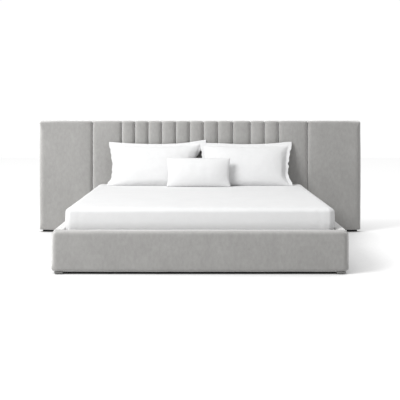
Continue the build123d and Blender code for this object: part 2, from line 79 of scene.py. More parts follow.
# Rails of the base
rail_top_radius = 0.034
rail_bottom_radius = 0.021
rail_lip_radius = 0.010
foot_corner_radius = 0.041
lip_clearance = 0.002
rail_hem = 0.012
roll_in_reach = 0.014
roll_in_depth = 0.005
roll_in_places = (0.003, 0.008)

# Bedding
sheet_thickness = 0.0015
skin_gap = 0.0003
sheet_tuck = 0.09
mattress_radii_low = (0.06, 0.06, 0.016)
mattress_radii_high = (0.06, 0.035, 0.031)
border_swell = 0.005

# Pillows: how full they are, and how they lean
pillow_lean = math.radians(28)
small_pillow_lean = math.radians(14)
pillow_fill = 0.49
pillow_rest_gap = 0.0003


def low_high(name):
    """Lowest and highest corner of a node of the model."""
    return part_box(name)


def waver(point, size, seed):
    """Smooth unevenness from -1 to 1 that repeats nowhere near; size is the width of its swells."""
    return noise.noise(Vector(point) / size + Vector((seed * 3.7, seed * 5.1, seed * 7.9)))


def within(value, low, high):
    """The value, kept between low and high."""
    return min(max(value, low), high)


def smooth_step(low, high, value):
    """0 below low, 1 above high, and a soft slope between them."""
    share = within((value - low) / (high - low), 0, 1)
    return share * share * (3 - 2 * share)


def mix(start, end, share):
    """The value that lies this share of the way from start to end."""
    return start + (end - start) * share


def belly(value, low, high):
    """1 in the middle of a span and 0 at its ends."""
    share = 2 * (value - low) / (high - low) - 1
    return 1 - share * share


def even(start, end, step):
    """Evenly spaced places from start to end, both included."""
    count = max(1, math.ceil(abs(end - start) / step))
    return [mix(start, end, number / count) for number in range(count + 1)]


# Meshes


def put(name, mesh, body, finish):
    """A finished mesh becomes a piece that rides on a body of the model."""
    piece = bpy.data.objects.new(name, mesh)
    bpy.context.scene.collection.objects.link(piece)
    mesh.materials.clear()
    mesh.materials.append(finish)
    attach(piece, body)
    return piece


def mesh_of(name, points, faces, smooth_count=None):
    """A closed mesh with its doubles merged and its faces outwards; faces after smooth_count stay flat."""
    weld_distance = 0.00002
    mesh = bpy.data.meshes.new(name)
    mesh.from_pydata(points, [], faces)
    form = bmesh.new()
    form.from_mesh(mesh)
    for number, face in enumerate(form.faces):
        face.smooth = smooth_count is None or number < smooth_count
    bmesh.ops.remove_doubles(form, verts=form.verts, dist=weld_distance)
    bmesh.ops.recalc_face_normals(form, faces=form.faces)
    form.to_mesh(mesh)
    form.free()
    return mesh


def shell(name, cells, surfaces):
    """A closed wall, from the outer and inner place that surfaces gives for each corner of its cells.

    A flat rim joins the two surfaces at each open edge."""
    keys = sorted({key for cell in cells for key in cell})
    number_of = {key: number for number, key in enumerate(keys)}
    count = len(keys)
    places = [surfaces(key) for key in keys]
    points = [outer for outer, inner in places] + [inner for outer, inner in places]
    faces = [[number_of[key] for key in cell] for cell in cells]
    faces += [[number_of[key] + count for key in reversed(cell)] for cell in cells]
    walls = len(faces)
    edges = {(a, b) for cell in cells for a, b in zip(cell, cell[1:] + cell[:1])}
    for a, b in sorted(edges):
        if (b, a) not in edges:
            faces.append([number_of[b], number_of[a], number_of[a] + count, number_of[b] + count])
    return mesh_of(name, points, faces, walls)


def pad(name, node, cells, surfaces, finish):
    """A padded piece of the bed's frame, covered in cloth."""
    piece = put(name, shell(name, cells, surfaces), "bed_frame", finish)
    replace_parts(piece, node)


def strip_cells(rows, columns):
    """Quads of a plain grid, as corner keys (row, column)."""
    cells = []
    for row in range(rows - 1):
        for column in range(columns - 1):
            cells.append([(row, column), (row, column + 1), (row + 1, column + 1), (row + 1, column)])
    return cells


box_sides = {
    "left": (0, 0), "right": (0, 1), "front": (1, 0), "back": (1, 1), "bottom": (2, 0), "top": (2, 1),
}


def box_cells(grid, sides, keep=None):
    """Quads on the named sides of a box, each wound to face outwards, as corner keys (i, j, k)."""
    cells = []
    for side in sides:
        axis, end = box_sides[side]
        across, along = (axis + 1) % 3, (axis + 2) % 3
        for i in range(len(grid[across]) - 1):
            for j in range(len(grid[along]) - 1):
                corners = []
                for step_i, step_j in ((0, 0), (1, 0), (1, 1), (0, 1)):
                    key = [0, 0, 0]
                    key[axis] = end * (len(grid[axis]) - 1)
                    key[across] = i + step_i
                    key[along] = j + step_j
                    corners.append(tuple(key))
                middle = [(grid[n][corners[0][n]] + grid[n][corners[2][n]]) / 2 for n in range(3)]
                if keep is None or keep(side, middle):
                    cells.append(corners if end else corners[::-1])
    return cells


def grid_point(grid, key):
    """The place of a corner key on the grid's box, before its edges are rounded."""
    return [grid[n][key[n]] for n in range(3)]


def stations(low, high, low_radius, high_radius, step=grid_step, extra=()):
    """Places along one side of a box: close together where its edges turn, evenly spaced between them."""
    turns = 5
    least_gap = 0.0004
    turn = [math.tan(math.radians(45 * number / turns)) for number in range(turns + 1)]
    places = [low + low_radius * (1 - t) for t in turn]
    places += even(low + low_radius, high - high_radius, step)
    places += [high - high_radius * (1 - t) for t in turn]
    places += extra
    chosen = []
    for place in sorted(places):
        if not chosen or place - chosen[-1] > least_gap:
            chosen.append(place)
    return chosen


def rounded(point, low, high, low_radii, high_radii):
    """Where a point of a box's surface lies once the box's edges are rounded, and which way it faces."""
    core = [min(max(point[n], low[n] + low_radii[n]), high[n] - high_radii[n]) for n in range(3)]
    reach = [high_radii[n] if point[n] > core[n] else low_radii[n] for n in range(3)]
    lean = Vector([(point[n] - core[n]) / reach[n] if reach[n] else 0 for n in range(3)])
    lean.normalize()
    return Vector([core[n] + reach[n] * lean[n] for n in range(3)]), lean


# Padding and its seams


def seam_depth(reach, half):
    """How far a channel's face lies behind its crown at this distance from the seam."""
    depth = 0
    if reach < channel_shoulder:
        depth = channel_shoulder_depth * (1 - math.sqrt(1 - (1 - reach / channel_shoulder) ** 2))
    rest = max(0, half - reach) / half
    return depth + channel_crown_depth * rest * rest


def shoulder_places():
    """Places from a seam inwards over its shoulder, closest at the seam."""
    turns = 7
    angles = [math.radians(90 * number / turns) for number in range(turns + 1)]
    return [channel_shoulder * (1 - math.cos(angle)) for angle in angles]


def pucker(place, reach, seed):
    """The small gathers that a seam's thread pulls into the cloth beside it."""
    gathers = waver((0, 0, place), broad_gather_size, seed)
    gathers += 0.6 * waver((0, 0, place), small_gather_size, seed + 40)
    return gather_depth * math.exp(-reach / gather_reach) * gathers


def soft_face(point, seed):
    """Slow unevenness of foam under cloth."""
    broad = broad_swell_depth * waver(point, broad_swell_size, seed)
    return broad + small_swell_depth * waver(point, small_swell_size, seed + 9)


# The headboard's padded channels and wings
channel_low, channel_high = low_high("headboard_channel_07")
front_y = channel_low.y
back_y = channel_high.y
pad_top = channel_high.z
centre_panel_low, centre_panel_high = low_high("headboard_centre_panel")
foam_back_y = centre_panel_low.y
frame_top = centre_panel_high.z
frame_back_y = low_high("headboard_centre_frame")[1].y
foot_draw = 0.004
foot_draw_height = 0.012


def wrap_rows(bottom, fold_end):
    """Side view of a channel from its foot, up the front, over the top and down the back.

    Each row is (outer y, outer z, facing y, facing z, share of the seam's depth, inner y, inner z)."""
    front_step, back_step = 0.014, 0.012
    inset, fold_inset = 0.004, 0.001
    top_share, back_share = 0.3, 0.1
    turns, fold_turns = 7, 3
    rows = []
    for z in even(bottom, pad_top - top_radius, front_step)[:-1]:
        rows.append((front_y, z, -1, 0, 1, foam_back_y, min(z, frame_top - 2 * inset)))
    for number in range(turns + 1):
        share = number / turns
        angle = math.radians(90 * share)
        y = front_y + top_radius * (1 - math.cos(angle))
        z = pad_top - top_radius * (1 - math.sin(angle))
        rows.append((
            y, z, -math.cos(angle), math.sin(angle), mix(1, top_share, share),
            foam_back_y + inset * share, frame_top - inset * (1 - share),
        ))
    for y in even(front_y + top_radius, back_y - back_fold_radius, back_step)[1:]:
        share = (y - front_y) / (back_y - front_y)
        inner_y = mix(foam_back_y + 2 * inset, frame_back_y - inset, smooth_step(0.25, 1, share))
        rows.append((y, pad_top, 0, 1, mix(top_share, back_share, share), inner_y, frame_top))
    for number in range(1, fold_turns + 1):
        angle = math.radians(90 * number / fold_turns)
        y = back_y - back_fold_radius * (1 - math.sin(angle))
        z = pad_top - back_fold_radius * (1 - math.cos(angle))
        inner_z = frame_top - fold_inset * number
        rows.append((y, z, math.sin(angle), math.cos(angle), 0, frame_back_y, inner_z))
    for z in even(pad_top - back_fold_radius, fold_end, back_step)[1:]:
        rows.append((back_y, z, 1, 0, 0, frame_back_y, min(z, frame_top - inset)))
    return rows


def channel_cover(number, finish):
    """One padded channel of the headboard, from seam to seam and over the top to its stapled edge."""
    node = f"headboard_channel_{number:02d}"
    low, high = low_high(node)
    left = low.x + seam_gap
    width = high.x - low.x - 2 * seam_gap
    shoulder = shoulder_places()
    reaches = shoulder + even(channel_shoulder, width - channel_shoulder, grid_step)[1:-1]
    reaches += [width - reach for reach in reversed(shoulder)]
    rows = wrap_rows(low.z, frame_top - turnover)

    def surfaces(key):
        y, z, facing_y, facing_z, share, inner_y, inner_z = rows[key[0]]
        reach = reaches[key[1]]
        edge = min(reach, width - reach)
        puff = soft_face((left + reach, y, z), number) * smooth_step(0, seam_fade, edge)
        gather = pucker(z + y, edge, number if reach < width / 2 else number + 1)
        out = (puff + gather) * (1 if facing_y < 0.5 else 0)
        out -= seam_depth(edge, width / 2) * share
        out -= foot_draw * (1 - smooth_step(low.z, low.z + foot_draw_height, z))
        return (left + reach, y + facing_y * out, z + facing_z * out), (left + reach, inner_y, inner_z)

    pad(f"channel_cover_{number:02d}", node, strip_cells(len(rows), len(reaches)), surfaces, finish)


def wing_cover(side, name, finish):
    """The pad of one wing: a seam beside the last channel, a broad face, and a round end and top."""
    low, high = low_high("headboard_right_pad")
    frame_end = low_high("headboard_right_panel")[1].x
    low = Vector((low.x + seam_gap, low.y, low.z))
    end_blend_start, end_blend_end = high.x - 0.16, high.x - 0.05
    tip_blend_start, tip_blend_end = 0.01, 0.1
    inner_rise = 0.003
    grid = (
        stations(
            low.x, high.x, 0, wing_corner_radius,
            extra=[low.x + place for place in shoulder_places()] + [frame_end - turnover],
        ),
        stations(low.y, high.y, wing_corner_radius, back_fold_radius, extra=[foam_back_y]),
        stations(low.z, high.z, hem_radius, top_radius, extra=[frame_top - turnover]),
    )

    def keep(face, middle):
        if face == "back":
            return middle[0] > frame_end - turnover or middle[2] > frame_top - turnover
        if face == "bottom":
            return middle[1] < foam_back_y or middle[0] > frame_end
        return True

    def surfaces(key):
        point = grid_point(grid, key)
        reach = point[0] - low.x
        near_end = smooth_step(end_blend_start, end_blend_end, point[0])
        front_radius = mix(top_radius, wing_corner_radius, near_end)
        to_tip = smooth_step(tip_blend_start, tip_blend_end, min(high.z - point[2], point[2] - low.z))
        side_radius = mix(corner_tip_radius, wing_corner_radius, to_tip)
        high_radii = (side_radius, back_fold_radius, top_radius)
        place, lean = rounded(point, low, high, (0, front_radius, hem_radius), high_radii)
        depth = seam_depth(reach, wing_swell) * mix(1, 0.3, max(0, lean.z)) * (1 if lean.y < 0.2 else 0)
        puff = soft_face(place, 21 + side) * smooth_step(0, seam_fade, reach)
        gather = pucker(place.z + place.y, reach, 1 if side < 0 else 14)
        place += lean * ((puff + gather) * (1 if lean.y < 0.4 else 0) - depth)
        place.x += end_swell * (belly(point[2], low.z, high.z) - 1) * max(0, lean.x)
        return (side * place.x, place.y, place.z), (
            side * within(point[0], low.x, frame_end),
            within(point[1], foam_back_y, frame_back_y),
            within(point[2], low.z + inner_rise, frame_top),
        )

    cells = box_cells(grid, ("front", "top", "right", "back", "bottom"), keep)
    pad(f"{name}_wing_cover", f"headboard_{name}_pad", cells, surfaces, finish)


# The plain pad below the channels, with slots for the hooks of the side rails
hook_plate_width = 0.025
slot_half_width = 0.004
lower_slot_start, lower_slot_end = 0.02, 0.066
upper_slot_start, upper_slot_to_top = 0.078, 0.026


def base_panel_cover(finish):
    """The plain pad below the channels, cut through where the hooks of the side rails enter it."""
    low, high = low_high("headboard_base_panel")
    plates_low, plates_high = low_high("headboard_hook_plates")
    hook_x = plates_high.x - hook_plate_width / 2
    slots_z = [
        (plates_low.z + lower_slot_start, plates_low.z + lower_slot_end),
        (plates_low.z + upper_slot_start, plates_high.z - upper_slot_to_top),
    ]
    radius = 0.012
    wall = 0.004
    least_give = 0.001
    cuts_x = [side * hook_x + edge for side in (-1, 1) for edge in (-slot_half_width, slot_half_width)]
    cuts_z = [z for pair in slots_z for z in pair]
    grid = (
        stations(low.x, high.x, radius, radius, step=0.03, extra=cuts_x),
        stations(low.y, high.y, radius, radius, step=0.01),
        stations(low.z, high.z, radius, radius, step=0.02, extra=cuts_z),
    )

    def keep(face, middle):
        in_slot = any(abs(middle[0] - side * hook_x) < slot_half_width for side in (-1, 1))
        in_slot = in_slot and any(a < middle[2] < b for a, b in slots_z)
        return not (face == "front" and in_slot)

    def surfaces(key):
        point = grid_point(grid, key)
        place, lean = rounded(point, low, high, (radius, radius, radius), (radius, 0, radius))
        place += lean * min(0, soft_face(place, 31) - least_give)
        if key[1] > 0 and lean.y > -0.5:
            return tuple(place), (place.x - wall * lean.x, place.y, place.z - wall * lean.z)
        return tuple(place), (point[0], high.y, point[2])

    cells = box_cells(grid, ("front", "left", "right", "top", "bottom"), keep)
    pad("lower_panel_cover", "headboard_base_panel", cells, surfaces, finish)


# The rails' pads
rail_low, rail_high = low_high("right_rail_cover")
board_low, board_high = low_high("right_rail_board")
lip_bottom = low_high("right_slats")[1].z + lip_clearance
rail_step = 0.014
rail_inner_rise = 0.002


def roll_in(reach):
    """How far a pad's face turns in at its open end, this far from it."""
    turned = within(reach, 0, roll_in_reach) / roll_in_reach
    return roll_in_depth * (1 - math.sqrt(1 - (1 - turned) ** 2))


def lip_drop(share, height):
    """How far a rail's top falls towards the mattress; share is 0 at its outer face and 1 at its lip."""
    full_drop, round_over = 0.0085, 0.012
    fall = full_drop * max(0, (min(share, 1) - 0.3) / 0.7) ** 1.5
    return fall * smooth_step(lip_bottom, rail_high.z - round_over, height)


def crown(place, lean, seed):
    """Slow unevenness along the top of a rail's pad."""
    depth, size, drop = 0.0008, 0.14, 0.001
    return depth * waver(place, size, seed) - drop if lean.z > 0.5 else 0


def side_rail_cover(side, name, finish):
    """Foam and cloth round one side rail: down outside, over the top and down to the slats inside."""
    low, high = rail_low, rail_high
    near_end = low.y + seam_gap
    edge_blend = 0.02
    grid = (
        stations(low.x, high.x, rail_lip_radius, rail_top_radius, extra=[board_low.x, board_high.x]),
        sorted(even(near_end, high.y - seam_gap, rail_step) + [near_end + place for place in roll_in_places]),
        stations(low.z, high.z, rail_bottom_radius, rail_top_radius, extra=[lip_bottom]),
    )

    def keep(face, middle):
        if face == "left":
            return middle[2] > lip_bottom
        if face == "bottom":
            return middle[0] > board_high.x - rail_hem
        return True

    def surfaces(key):
        point = grid_point(grid, key)
        near_top = smooth_step(low.z + edge_blend, high.z - edge_blend, point[2])
        outside = mix(rail_bottom_radius, rail_top_radius, near_top)
        top = rail_lip_radius if point[0] < (low.x + high.x) / 2 else rail_top_radius
        low_radii = (rail_lip_radius, 0, rail_bottom_radius)
        place, lean = rounded(point, low, high, low_radii, (outside, 0, top))
        out = soft_face(place, 33 + side) + crown(place, lean, 35 + side)
        out += end_swell * (belly(point[2], low.z, high.z) - 1) * max(0, lean.x)
        out -= roll_in(point[1] - near_end)
        place += lean * (out if lean.x > -0.5 else min(out, 0))
        place.z -= lip_drop((high.x - point[0]) / (high.x - low.x), point[2])
        return (side * place.x, place.y, place.z), (
            side * within(point[0], board_low.x, board_high.x),
            point[1],
            within(point[2], low.z + rail_inner_rise, board_high.z),
        )

    cells = box_cells(grid, ("left", "top", "right", "bottom"), keep)
    pad(f"{name}_rail_pad", f"{name}_rail_cover", cells, surfaces, finish)


def foot_rail_pad(finish):
    """Foam and cloth round the foot rail, which turns both corners and meets the side rails' pads."""
    low, high = low_high("foot_rail_cover")
    inside, outside = low_high("foot_rail_board")
    inner_x = rail_low.x
    corner = foot_corner_radius
    corner_blend_start, corner_blend_end = low.z + 0.02, low.z + 0.08
    front_swell = 0.0012
    joint_margin = 0.004
    joint_places = [outside.y - reach for reach in (0, *roll_in_places, roll_in_reach)]
    grid = (
        stations(low.x, high.x, corner, corner, extra=[-inner_x, inner_x]),
        stations(low.y, high.y, corner, rail_lip_radius, extra=[inside.y] + joint_places),
        stations(low.z, high.z, rail_bottom_radius, rail_top_radius, extra=[lip_bottom]),
    )

    def keep(face, middle):
        before_joint = middle[1] < outside.y
        if face == "back":
            return abs(middle[0]) < inner_x and middle[2] > lip_bottom
        if face == "bottom":
            past_board = abs(middle[0]) > outside.x - rail_hem or middle[1] < inside.y + rail_hem
            return past_board and before_joint
        if face == "top":
            return abs(middle[0]) < inner_x or before_joint
        return before_joint

    def surfaces(key):
        point = grid_point(grid, key)
        up_share = smooth_step(corner_blend_start, corner_blend_end, point[2])
        low_radii = (corner, mix(rail_bottom_radius, corner, up_share), rail_bottom_radius)
        top = rail_lip_radius if point[1] > outside.y + on_line else rail_top_radius
        place, lean = rounded(point, low, high, low_radii, (corner, rail_lip_radius, top))
        hollow = belly(point[2], low.z, high.z) - 1
        out = soft_face(place, 37) + crown(place, lean, 39) + end_swell * hollow * abs(lean.x)
        if abs(point[0]) > inner_x + joint_margin or lean.z < -0.5:
            out -= roll_in(outside.y - point[1])
        if lean.y < -0.3:
            out += end_swell * (belly(point[0], low.x, high.x) - 1) + front_swell * hollow
        place += lean * (min(out, 0) if lean.y > 0.3 else out)
        place.z -= lip_drop(min(point[1] - low.y, high.x - abs(point[0])) / (high.y - low.y), point[2])
        return tuple(place), (
            within(point[0], inside.x, outside.x),
            within(point[1], inside.y, outside.y),
            within(point[2], low.z + rail_inner_rise, outside.z),
        )

    cells = box_cells(grid, ("front", "left", "right", "top", "bottom", "back"), keep)
    pad("foot_rail_pad", "foot_rail_cover", cells, surfaces, finish)


# Bedding
mattress_low, mattress_high = low_high("mattress")


def bulged(place, lean):
    """The border stands out most above half its height, and is drawn in below and a little at the top."""
    height = (place.z - mattress_low.z) / (mattress_high.z - mattress_low.z)
    swell = belly(place.z, mattress_low.z, mattress_high.z) - 1
    drawn_in = 1.8 * (1 - smooth_step(0.3, 0.62, height))
    return place + Vector((lean.x, lean.y, 0)) * border_swell * (swell - drawn_in)


def mattress_grid(low, high, step):
    """Places along the three sides of the mattress, or of the sheet over it."""
    radii = zip(mattress_radii_low, mattress_radii_high)
    return [stations(low[n], high[n], *pair, step=step) for n, pair in enumerate(radii)]


def mattress_block(finish):
    """The mattress, a stuffed block with a border and round edges; the sheet hides all but its underside."""
    low, high = mattress_low, mattress_high
    block_step = 0.035
    give, give_size = 0.0006, 0.12
    grid = mattress_grid(low, high, block_step)
    cells = box_cells(grid, box_sides)
    keys = sorted({key for cell in cells for key in cell})
    number_of = {key: number for number, key in enumerate(keys)}
    points = []
    for key in keys:
        place, lean = rounded(grid_point(grid, key), low, high, mattress_radii_low, mattress_radii_high)
        points.append(bulged(place, lean) - lean * give * (1 + waver(place, give_size, 50)))
    mesh = mesh_of("mattress_block", points, [[number_of[key] for key in cell] for cell in cells])
    piece = put("mattress_block", mesh, "mattress", finish)
    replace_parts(piece, "mattress")


def corner_pull(place, middle, half):
    """Tension folds that run up the sheet's sides beside each corner, strongest near it."""
    fold_reach, corner, fold_waver = 0.16, 0.06, 0.2
    across = half.x - abs(place.x - middle.x)
    along = half.y - abs(place.y - middle.y)
    near = math.exp(-max(across, along) / fold_reach)
    around = math.atan2(along - corner, across - corner)
    return near * (0.5 + 0.5 * math.sin(around * 9 + 2 * waver(place, fold_waver, 61)))


def sheet_on_mattress(finish):
    """A fitted sheet: drawn flat over the top, tight round the corners and gathered by its elastic below."""
    gap = Vector((skin_gap, skin_gap, skin_gap))
    low, high = mattress_low - gap, mattress_high + gap
    middle, half = (low + high) / 2, (high - low) / 2
    top_lift, top_size = 0.0008, 0.3
    fold_lift = 0.0035
    side_lift, side_size = 0.0009, 0.07
    elastic_lift, elastic_size = 0.0005, 0.012
    grid = mattress_grid(low, high, grid_step)

    def keep(face, place):
        inside_x = low.x + sheet_tuck < place[0] < high.x - sheet_tuck
        inside_y = low.y + sheet_tuck < place[1] < high.y - sheet_tuck
        return face != "bottom" or not (inside_x and inside_y)

    def surfaces(key):
        place, lean = rounded(grid_point(grid, key), low, high, mattress_radii_low, mattress_radii_high)
        side = math.hypot(lean.x, lean.y)
        lift = top_lift * (1 + waver(place, top_size, 62)) * max(0, lean.z)
        lift += fold_lift * side * corner_pull(place, middle, half)
        lift += side_lift * side * (1 + waver((place.x, place.y, place.z * 0.3), side_size, 63))
        if lean.z < -0.9:
            lift += elastic_lift * (1 + waver(place, elastic_size, 64))
        place = bulged(place, lean)
        return tuple(place + lean * (lift + sheet_thickness)), tuple(place + lean * lift)

    mesh = shell("sheet_on_mattress", box_cells(grid, box_sides, keep), surfaces)
    piece = put("sheet_on_mattress", mesh, "mattress", finish)
    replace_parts(piece, "fitted_sheet")


# Pillows
sheet_top = low_high("fitted_sheet")[1].z
hem_gap = 0.0008
crease_depth, crease_size = 0.0014, 0.05
frill_depth, frill_size = 0.0035, 0.045
edge_waver_size = 0.028
flange_waver_size = 0.03


def bag_grid(width, height, flange, step):
    """Places across and up a pillow case, with a line at each edge of its flange."""
    rows = []
    for size in (width, height):
        half = size / 2
        inside = even(-half + flange, half - flange, step)
        edge = even(half - flange, half, step * 0.9)[1:] if flange else []
        rows.append([-place for place in reversed(edge)] + inside + edge)
    return rows


def case_point(x, y, layer, on_hem, cut, flange, draw, seed):
    """A point of an unfilled case, in the pillow's own plane, for its front, 1, or rear, -1."""
    width, height, thickness = cut
    most_drawn, upper_reach, lower_reach = -0.13, 0.63, 0.32
    half_x = width / 2 - flange
    half_y = height / 2 - flange
    u = min(abs(x) / half_x, 1)
    v = min(abs(y) / half_y, 1)
    inside = u < 0.999 and v < 0.999
    rise = 0 if on_hem else hem_gap
    depth = rise
    if inside:
        depth += (thickness / 2 - rise) * ((1 - u ** 3) * (1 - v ** 2.2)) ** 0.7
        depth += layer * crease_depth * waver((x, y, 0.3 * layer), crease_size, seed)
    side_share = (abs(x) / (width / 2)) ** 3
    above = y / height - most_drawn
    side_draw = draw[0] if x < 0 else draw[1]
    bow_x = max(0, 1 - (above / (upper_reach if above > 0 else lower_reach)) ** 2)
    bow_x += 0.1 * waver((math.copysign(9, x), y, 0), edge_waver_size, seed)
    bow_y = draw[2] * (1 - min(abs(x) / (width / 2), 1) ** 2) * (abs(y) / (height / 2)) ** 3
    frill = 0
    if flange and not inside:
        over = max(abs(x) - half_x, abs(y) - half_y, 0) / flange
        frill = frill_depth * waver((x, y, 0), frill_size, seed + 5) * over
    return (
        x - math.copysign(bow_x * side_draw * side_share, x),
        y - math.copysign(bow_y, y),
        layer * depth + frill,
    )


def pillow_bag(name, cut, flange, draw, step, tuck, seed):
    """Two layers of cloth joined at their hem, a little puffed, with a seam round inside the flange.

    draw is how far the left side, the right side, and the top and bottom pull in, and tuck how far the
    right flange is pushed back, as a share of its width. Returns the mesh, the points that the filling
    presses on, the points of the flange, each with the two seam points it starts from and its way from
    them, and those of the lower flange, each with the seam point it hangs from and its distance from it."""
    width, height = cut[:2]
    across, up = bag_grid(width, height, flange, step)
    last_x = len(across) - 1
    last_y = len(up) - 1
    half_x = width / 2 - flange
    half_y = height / 2 - flange
    points, number_of = [], {}

    def corner_key(i, j, layer):
        on_hem = i in (0, last_x) or j in (0, last_y)
        return (i, j, 0 if on_hem else layer)

    for layer in (1, -1):
        for i, x in enumerate(across):
            for j, y in enumerate(up):
                key = corner_key(i, j, layer)
                if key not in number_of:
                    number_of[key] = len(points)
                    points.append(case_point(x, y, layer, key[2] == 0, cut, flange, draw, seed))

    def at(i, j, layer):
        return number_of[corner_key(i, j, layer)]

    faces = []
    for i in range(last_x):
        for j in range(last_y):
            faces.append([at(i, j, 1), at(i + 1, j, 1), at(i + 1, j + 1, 1), at(i, j + 1, 1)])
            faces.append([at(i, j, -1), at(i, j + 1, -1), at(i + 1, j + 1, -1), at(i + 1, j, -1)])
    seam, stuffed, laid, hanging = [], [], {}, {}
    seam_row = min(range(len(up)), key=lambda j: abs(up[j] + half_y))
    seam_column = min(range(len(across)), key=lambda i: abs(across[i] + half_x))
    for i, x in enumerate(across):
        for j, y in enumerate(up):
            pair = (at(i, j, 1), at(i, j, -1))
            on_x = abs(abs(x) - half_x) < on_line and abs(y) < half_y + on_line
            on_y = abs(abs(y) - half_y) < on_line and abs(x) < half_x + on_line
            if flange and (on_x or on_y):
                seam.append(pair)
            elif abs(x) < half_x and abs(y) < half_y:
                stuffed += pair
            root_i = within(i, seam_column, last_x - seam_column)
            root_j = within(j, seam_row, last_y - seam_row)
            if flange and (on_x or on_y or i != root_i or j != root_j):
                bumps = waver((math.copysign(9, x), y, 0), flange_waver_size, seed + 7) * (1.2 - y / height)
                past = max(0, x - half_x) * tuck * (1 - smooth_step(0.12, 0.42, y / height))
                out = (x - across[root_i]) * (1 + 0.3 * bumps) - past
                for number in pair:
                    way = Vector((out, y - up[root_j], points[number][2] - past))
                    laid[number] = ((at(root_i, root_j, 1), at(root_i, root_j, -1)), way)
            if flange and j < seam_row:
                for layer in (1, -1):
                    hanging[at(i, j, layer)] = (at(i, seam_row, layer), up[seam_row] - y, layer)
    mesh = bpy.data.meshes.new(name)
    mesh.from_pydata(points, seam, faces)
    return mesh, stuffed, laid, hanging


# How the filling swells a case
filling_values = {
    "quality": 6,
    "mass": 0.25,
    "air_damping": 2,
    "tension_stiffness": 30,
    "compression_stiffness": 6,
    "shear_stiffness": 4,
    "bending_stiffness": 0.4,
    "bending_stiffness_max": 6,
    "vertex_group_bending": "hem",
    "use_pressure": True,
    "uniform_pressure_force": 0,
    "use_pressure_volume": True,
    "pressure_factor": 14,
    "vertex_group_pressure": "stuffed",
    "use_sewing_springs": True,
    "sewing_force_max": 12,
}
filling_frames = 30


def fill_pillow(piece, stuffed, laid, volume):
    """Swells the case with its filling by cloth simulation, and returns where its points come to rest."""
    piece.vertex_groups.new(name="stuffed").add(stuffed, 1, "REPLACE")
    piece.vertex_groups.new(name="hem").add(list(laid), 1, "REPLACE")
    swell = piece.modifiers.new("filling", "CLOTH")
    for name, value in filling_values.items():
        setattr(swell.settings, name, value)
    swell.settings.target_volume = volume
    swell.settings.effector_weights.gravity = 0
    swell.collision_settings.use_collision = False
    swell.collision_settings.use_self_collision = False
    scene = bpy.context.scene
    for timed in (scene, swell.point_cache):
        timed.frame_start = 1
        timed.frame_end = filling_frames
    for number in range(1, filling_frames + 1):
        scene.frame_set(number)
    filled = bpy.data.meshes.new_from_object(piece.evaluated_get(bpy.context.evaluated_depsgraph_get()))
    piece.modifiers.remove(swell)
    piece.vertex_groups.clear()
    scene.frame_set(1)
    return [vertex.co.copy() for vertex in filled.vertices]


def lay_flange(points, laid):
    """Spreads the flange out from the seam of the filled case."""
    bases = {}
    for number, ((front, rear), way) in laid.items():
        bases[number] = (points[front] + points[rear]) / 2 + way
    for number, place in bases.items():
        points[number] = place


def settle(points, hanging, rest):
    """Lets a leaning pillow sink until its underside meets the bed, and folds its lower flange under it.

    A corner that overhangs isn't drawn down."""
    column_width = 0.016
    give = 0.003
    overhang_start, overhang_end = 0.03, 0.09
    sinking_height = 0.24
    fold_gap, fold_half = 0.0012, 0.0006
    lowest = {}
    for number, point in enumerate(points):
        if number not in hanging:
            column = round(point.x / column_width)
            lowest[column] = min(lowest.get(column, math.inf), point.z)
    first, last = min(lowest), max(lowest)

    def underside(x):
        columns = [within(round(x / column_width) + step, first, last) for step in (-2, -1, 0, 1, 2)]
        return sum(lowest.get(column, rest) for column in columns) / len(columns)

    for number, point in enumerate(points):
        if number not in hanging:
            low = underside(point.x)
            sink = (low + give - rest) * (1 - smooth_step(overhang_start, overhang_end, low - rest))
            point.z -= sink * (1 - smooth_step(0, sinking_height, point.z - low))
            over = rest + give - point.z
            if over > 0:
                point.z = rest + give * math.exp(-over / give)
    for number, (root, reach, layer) in hanging.items():
        base = points[root]
        points[number] = Vector((base.x, base.y + reach * 0.94, rest + fold_gap + fold_half * layer))


def finished_pillow(name, points, faces, body, finish):
    """Closes the settled pillow as one piece."""
    shape = bmesh.new()
    corners = [shape.verts.new(point) for point in points]
    for face in faces:
        shape.faces.new([corners[number] for number in face]).smooth = True
    bmesh.ops.recalc_face_normals(shape, faces=shape.faces)
    mesh = bpy.data.meshes.new(name)
    shape.to_mesh(mesh)
    shape.free()
    piece = put(name, mesh, body, finish)
    finer = piece.modifiers.new("finer", "SUBSURF")
    finer.levels = 1
    finer.render_levels = 1
    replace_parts(piece, body)


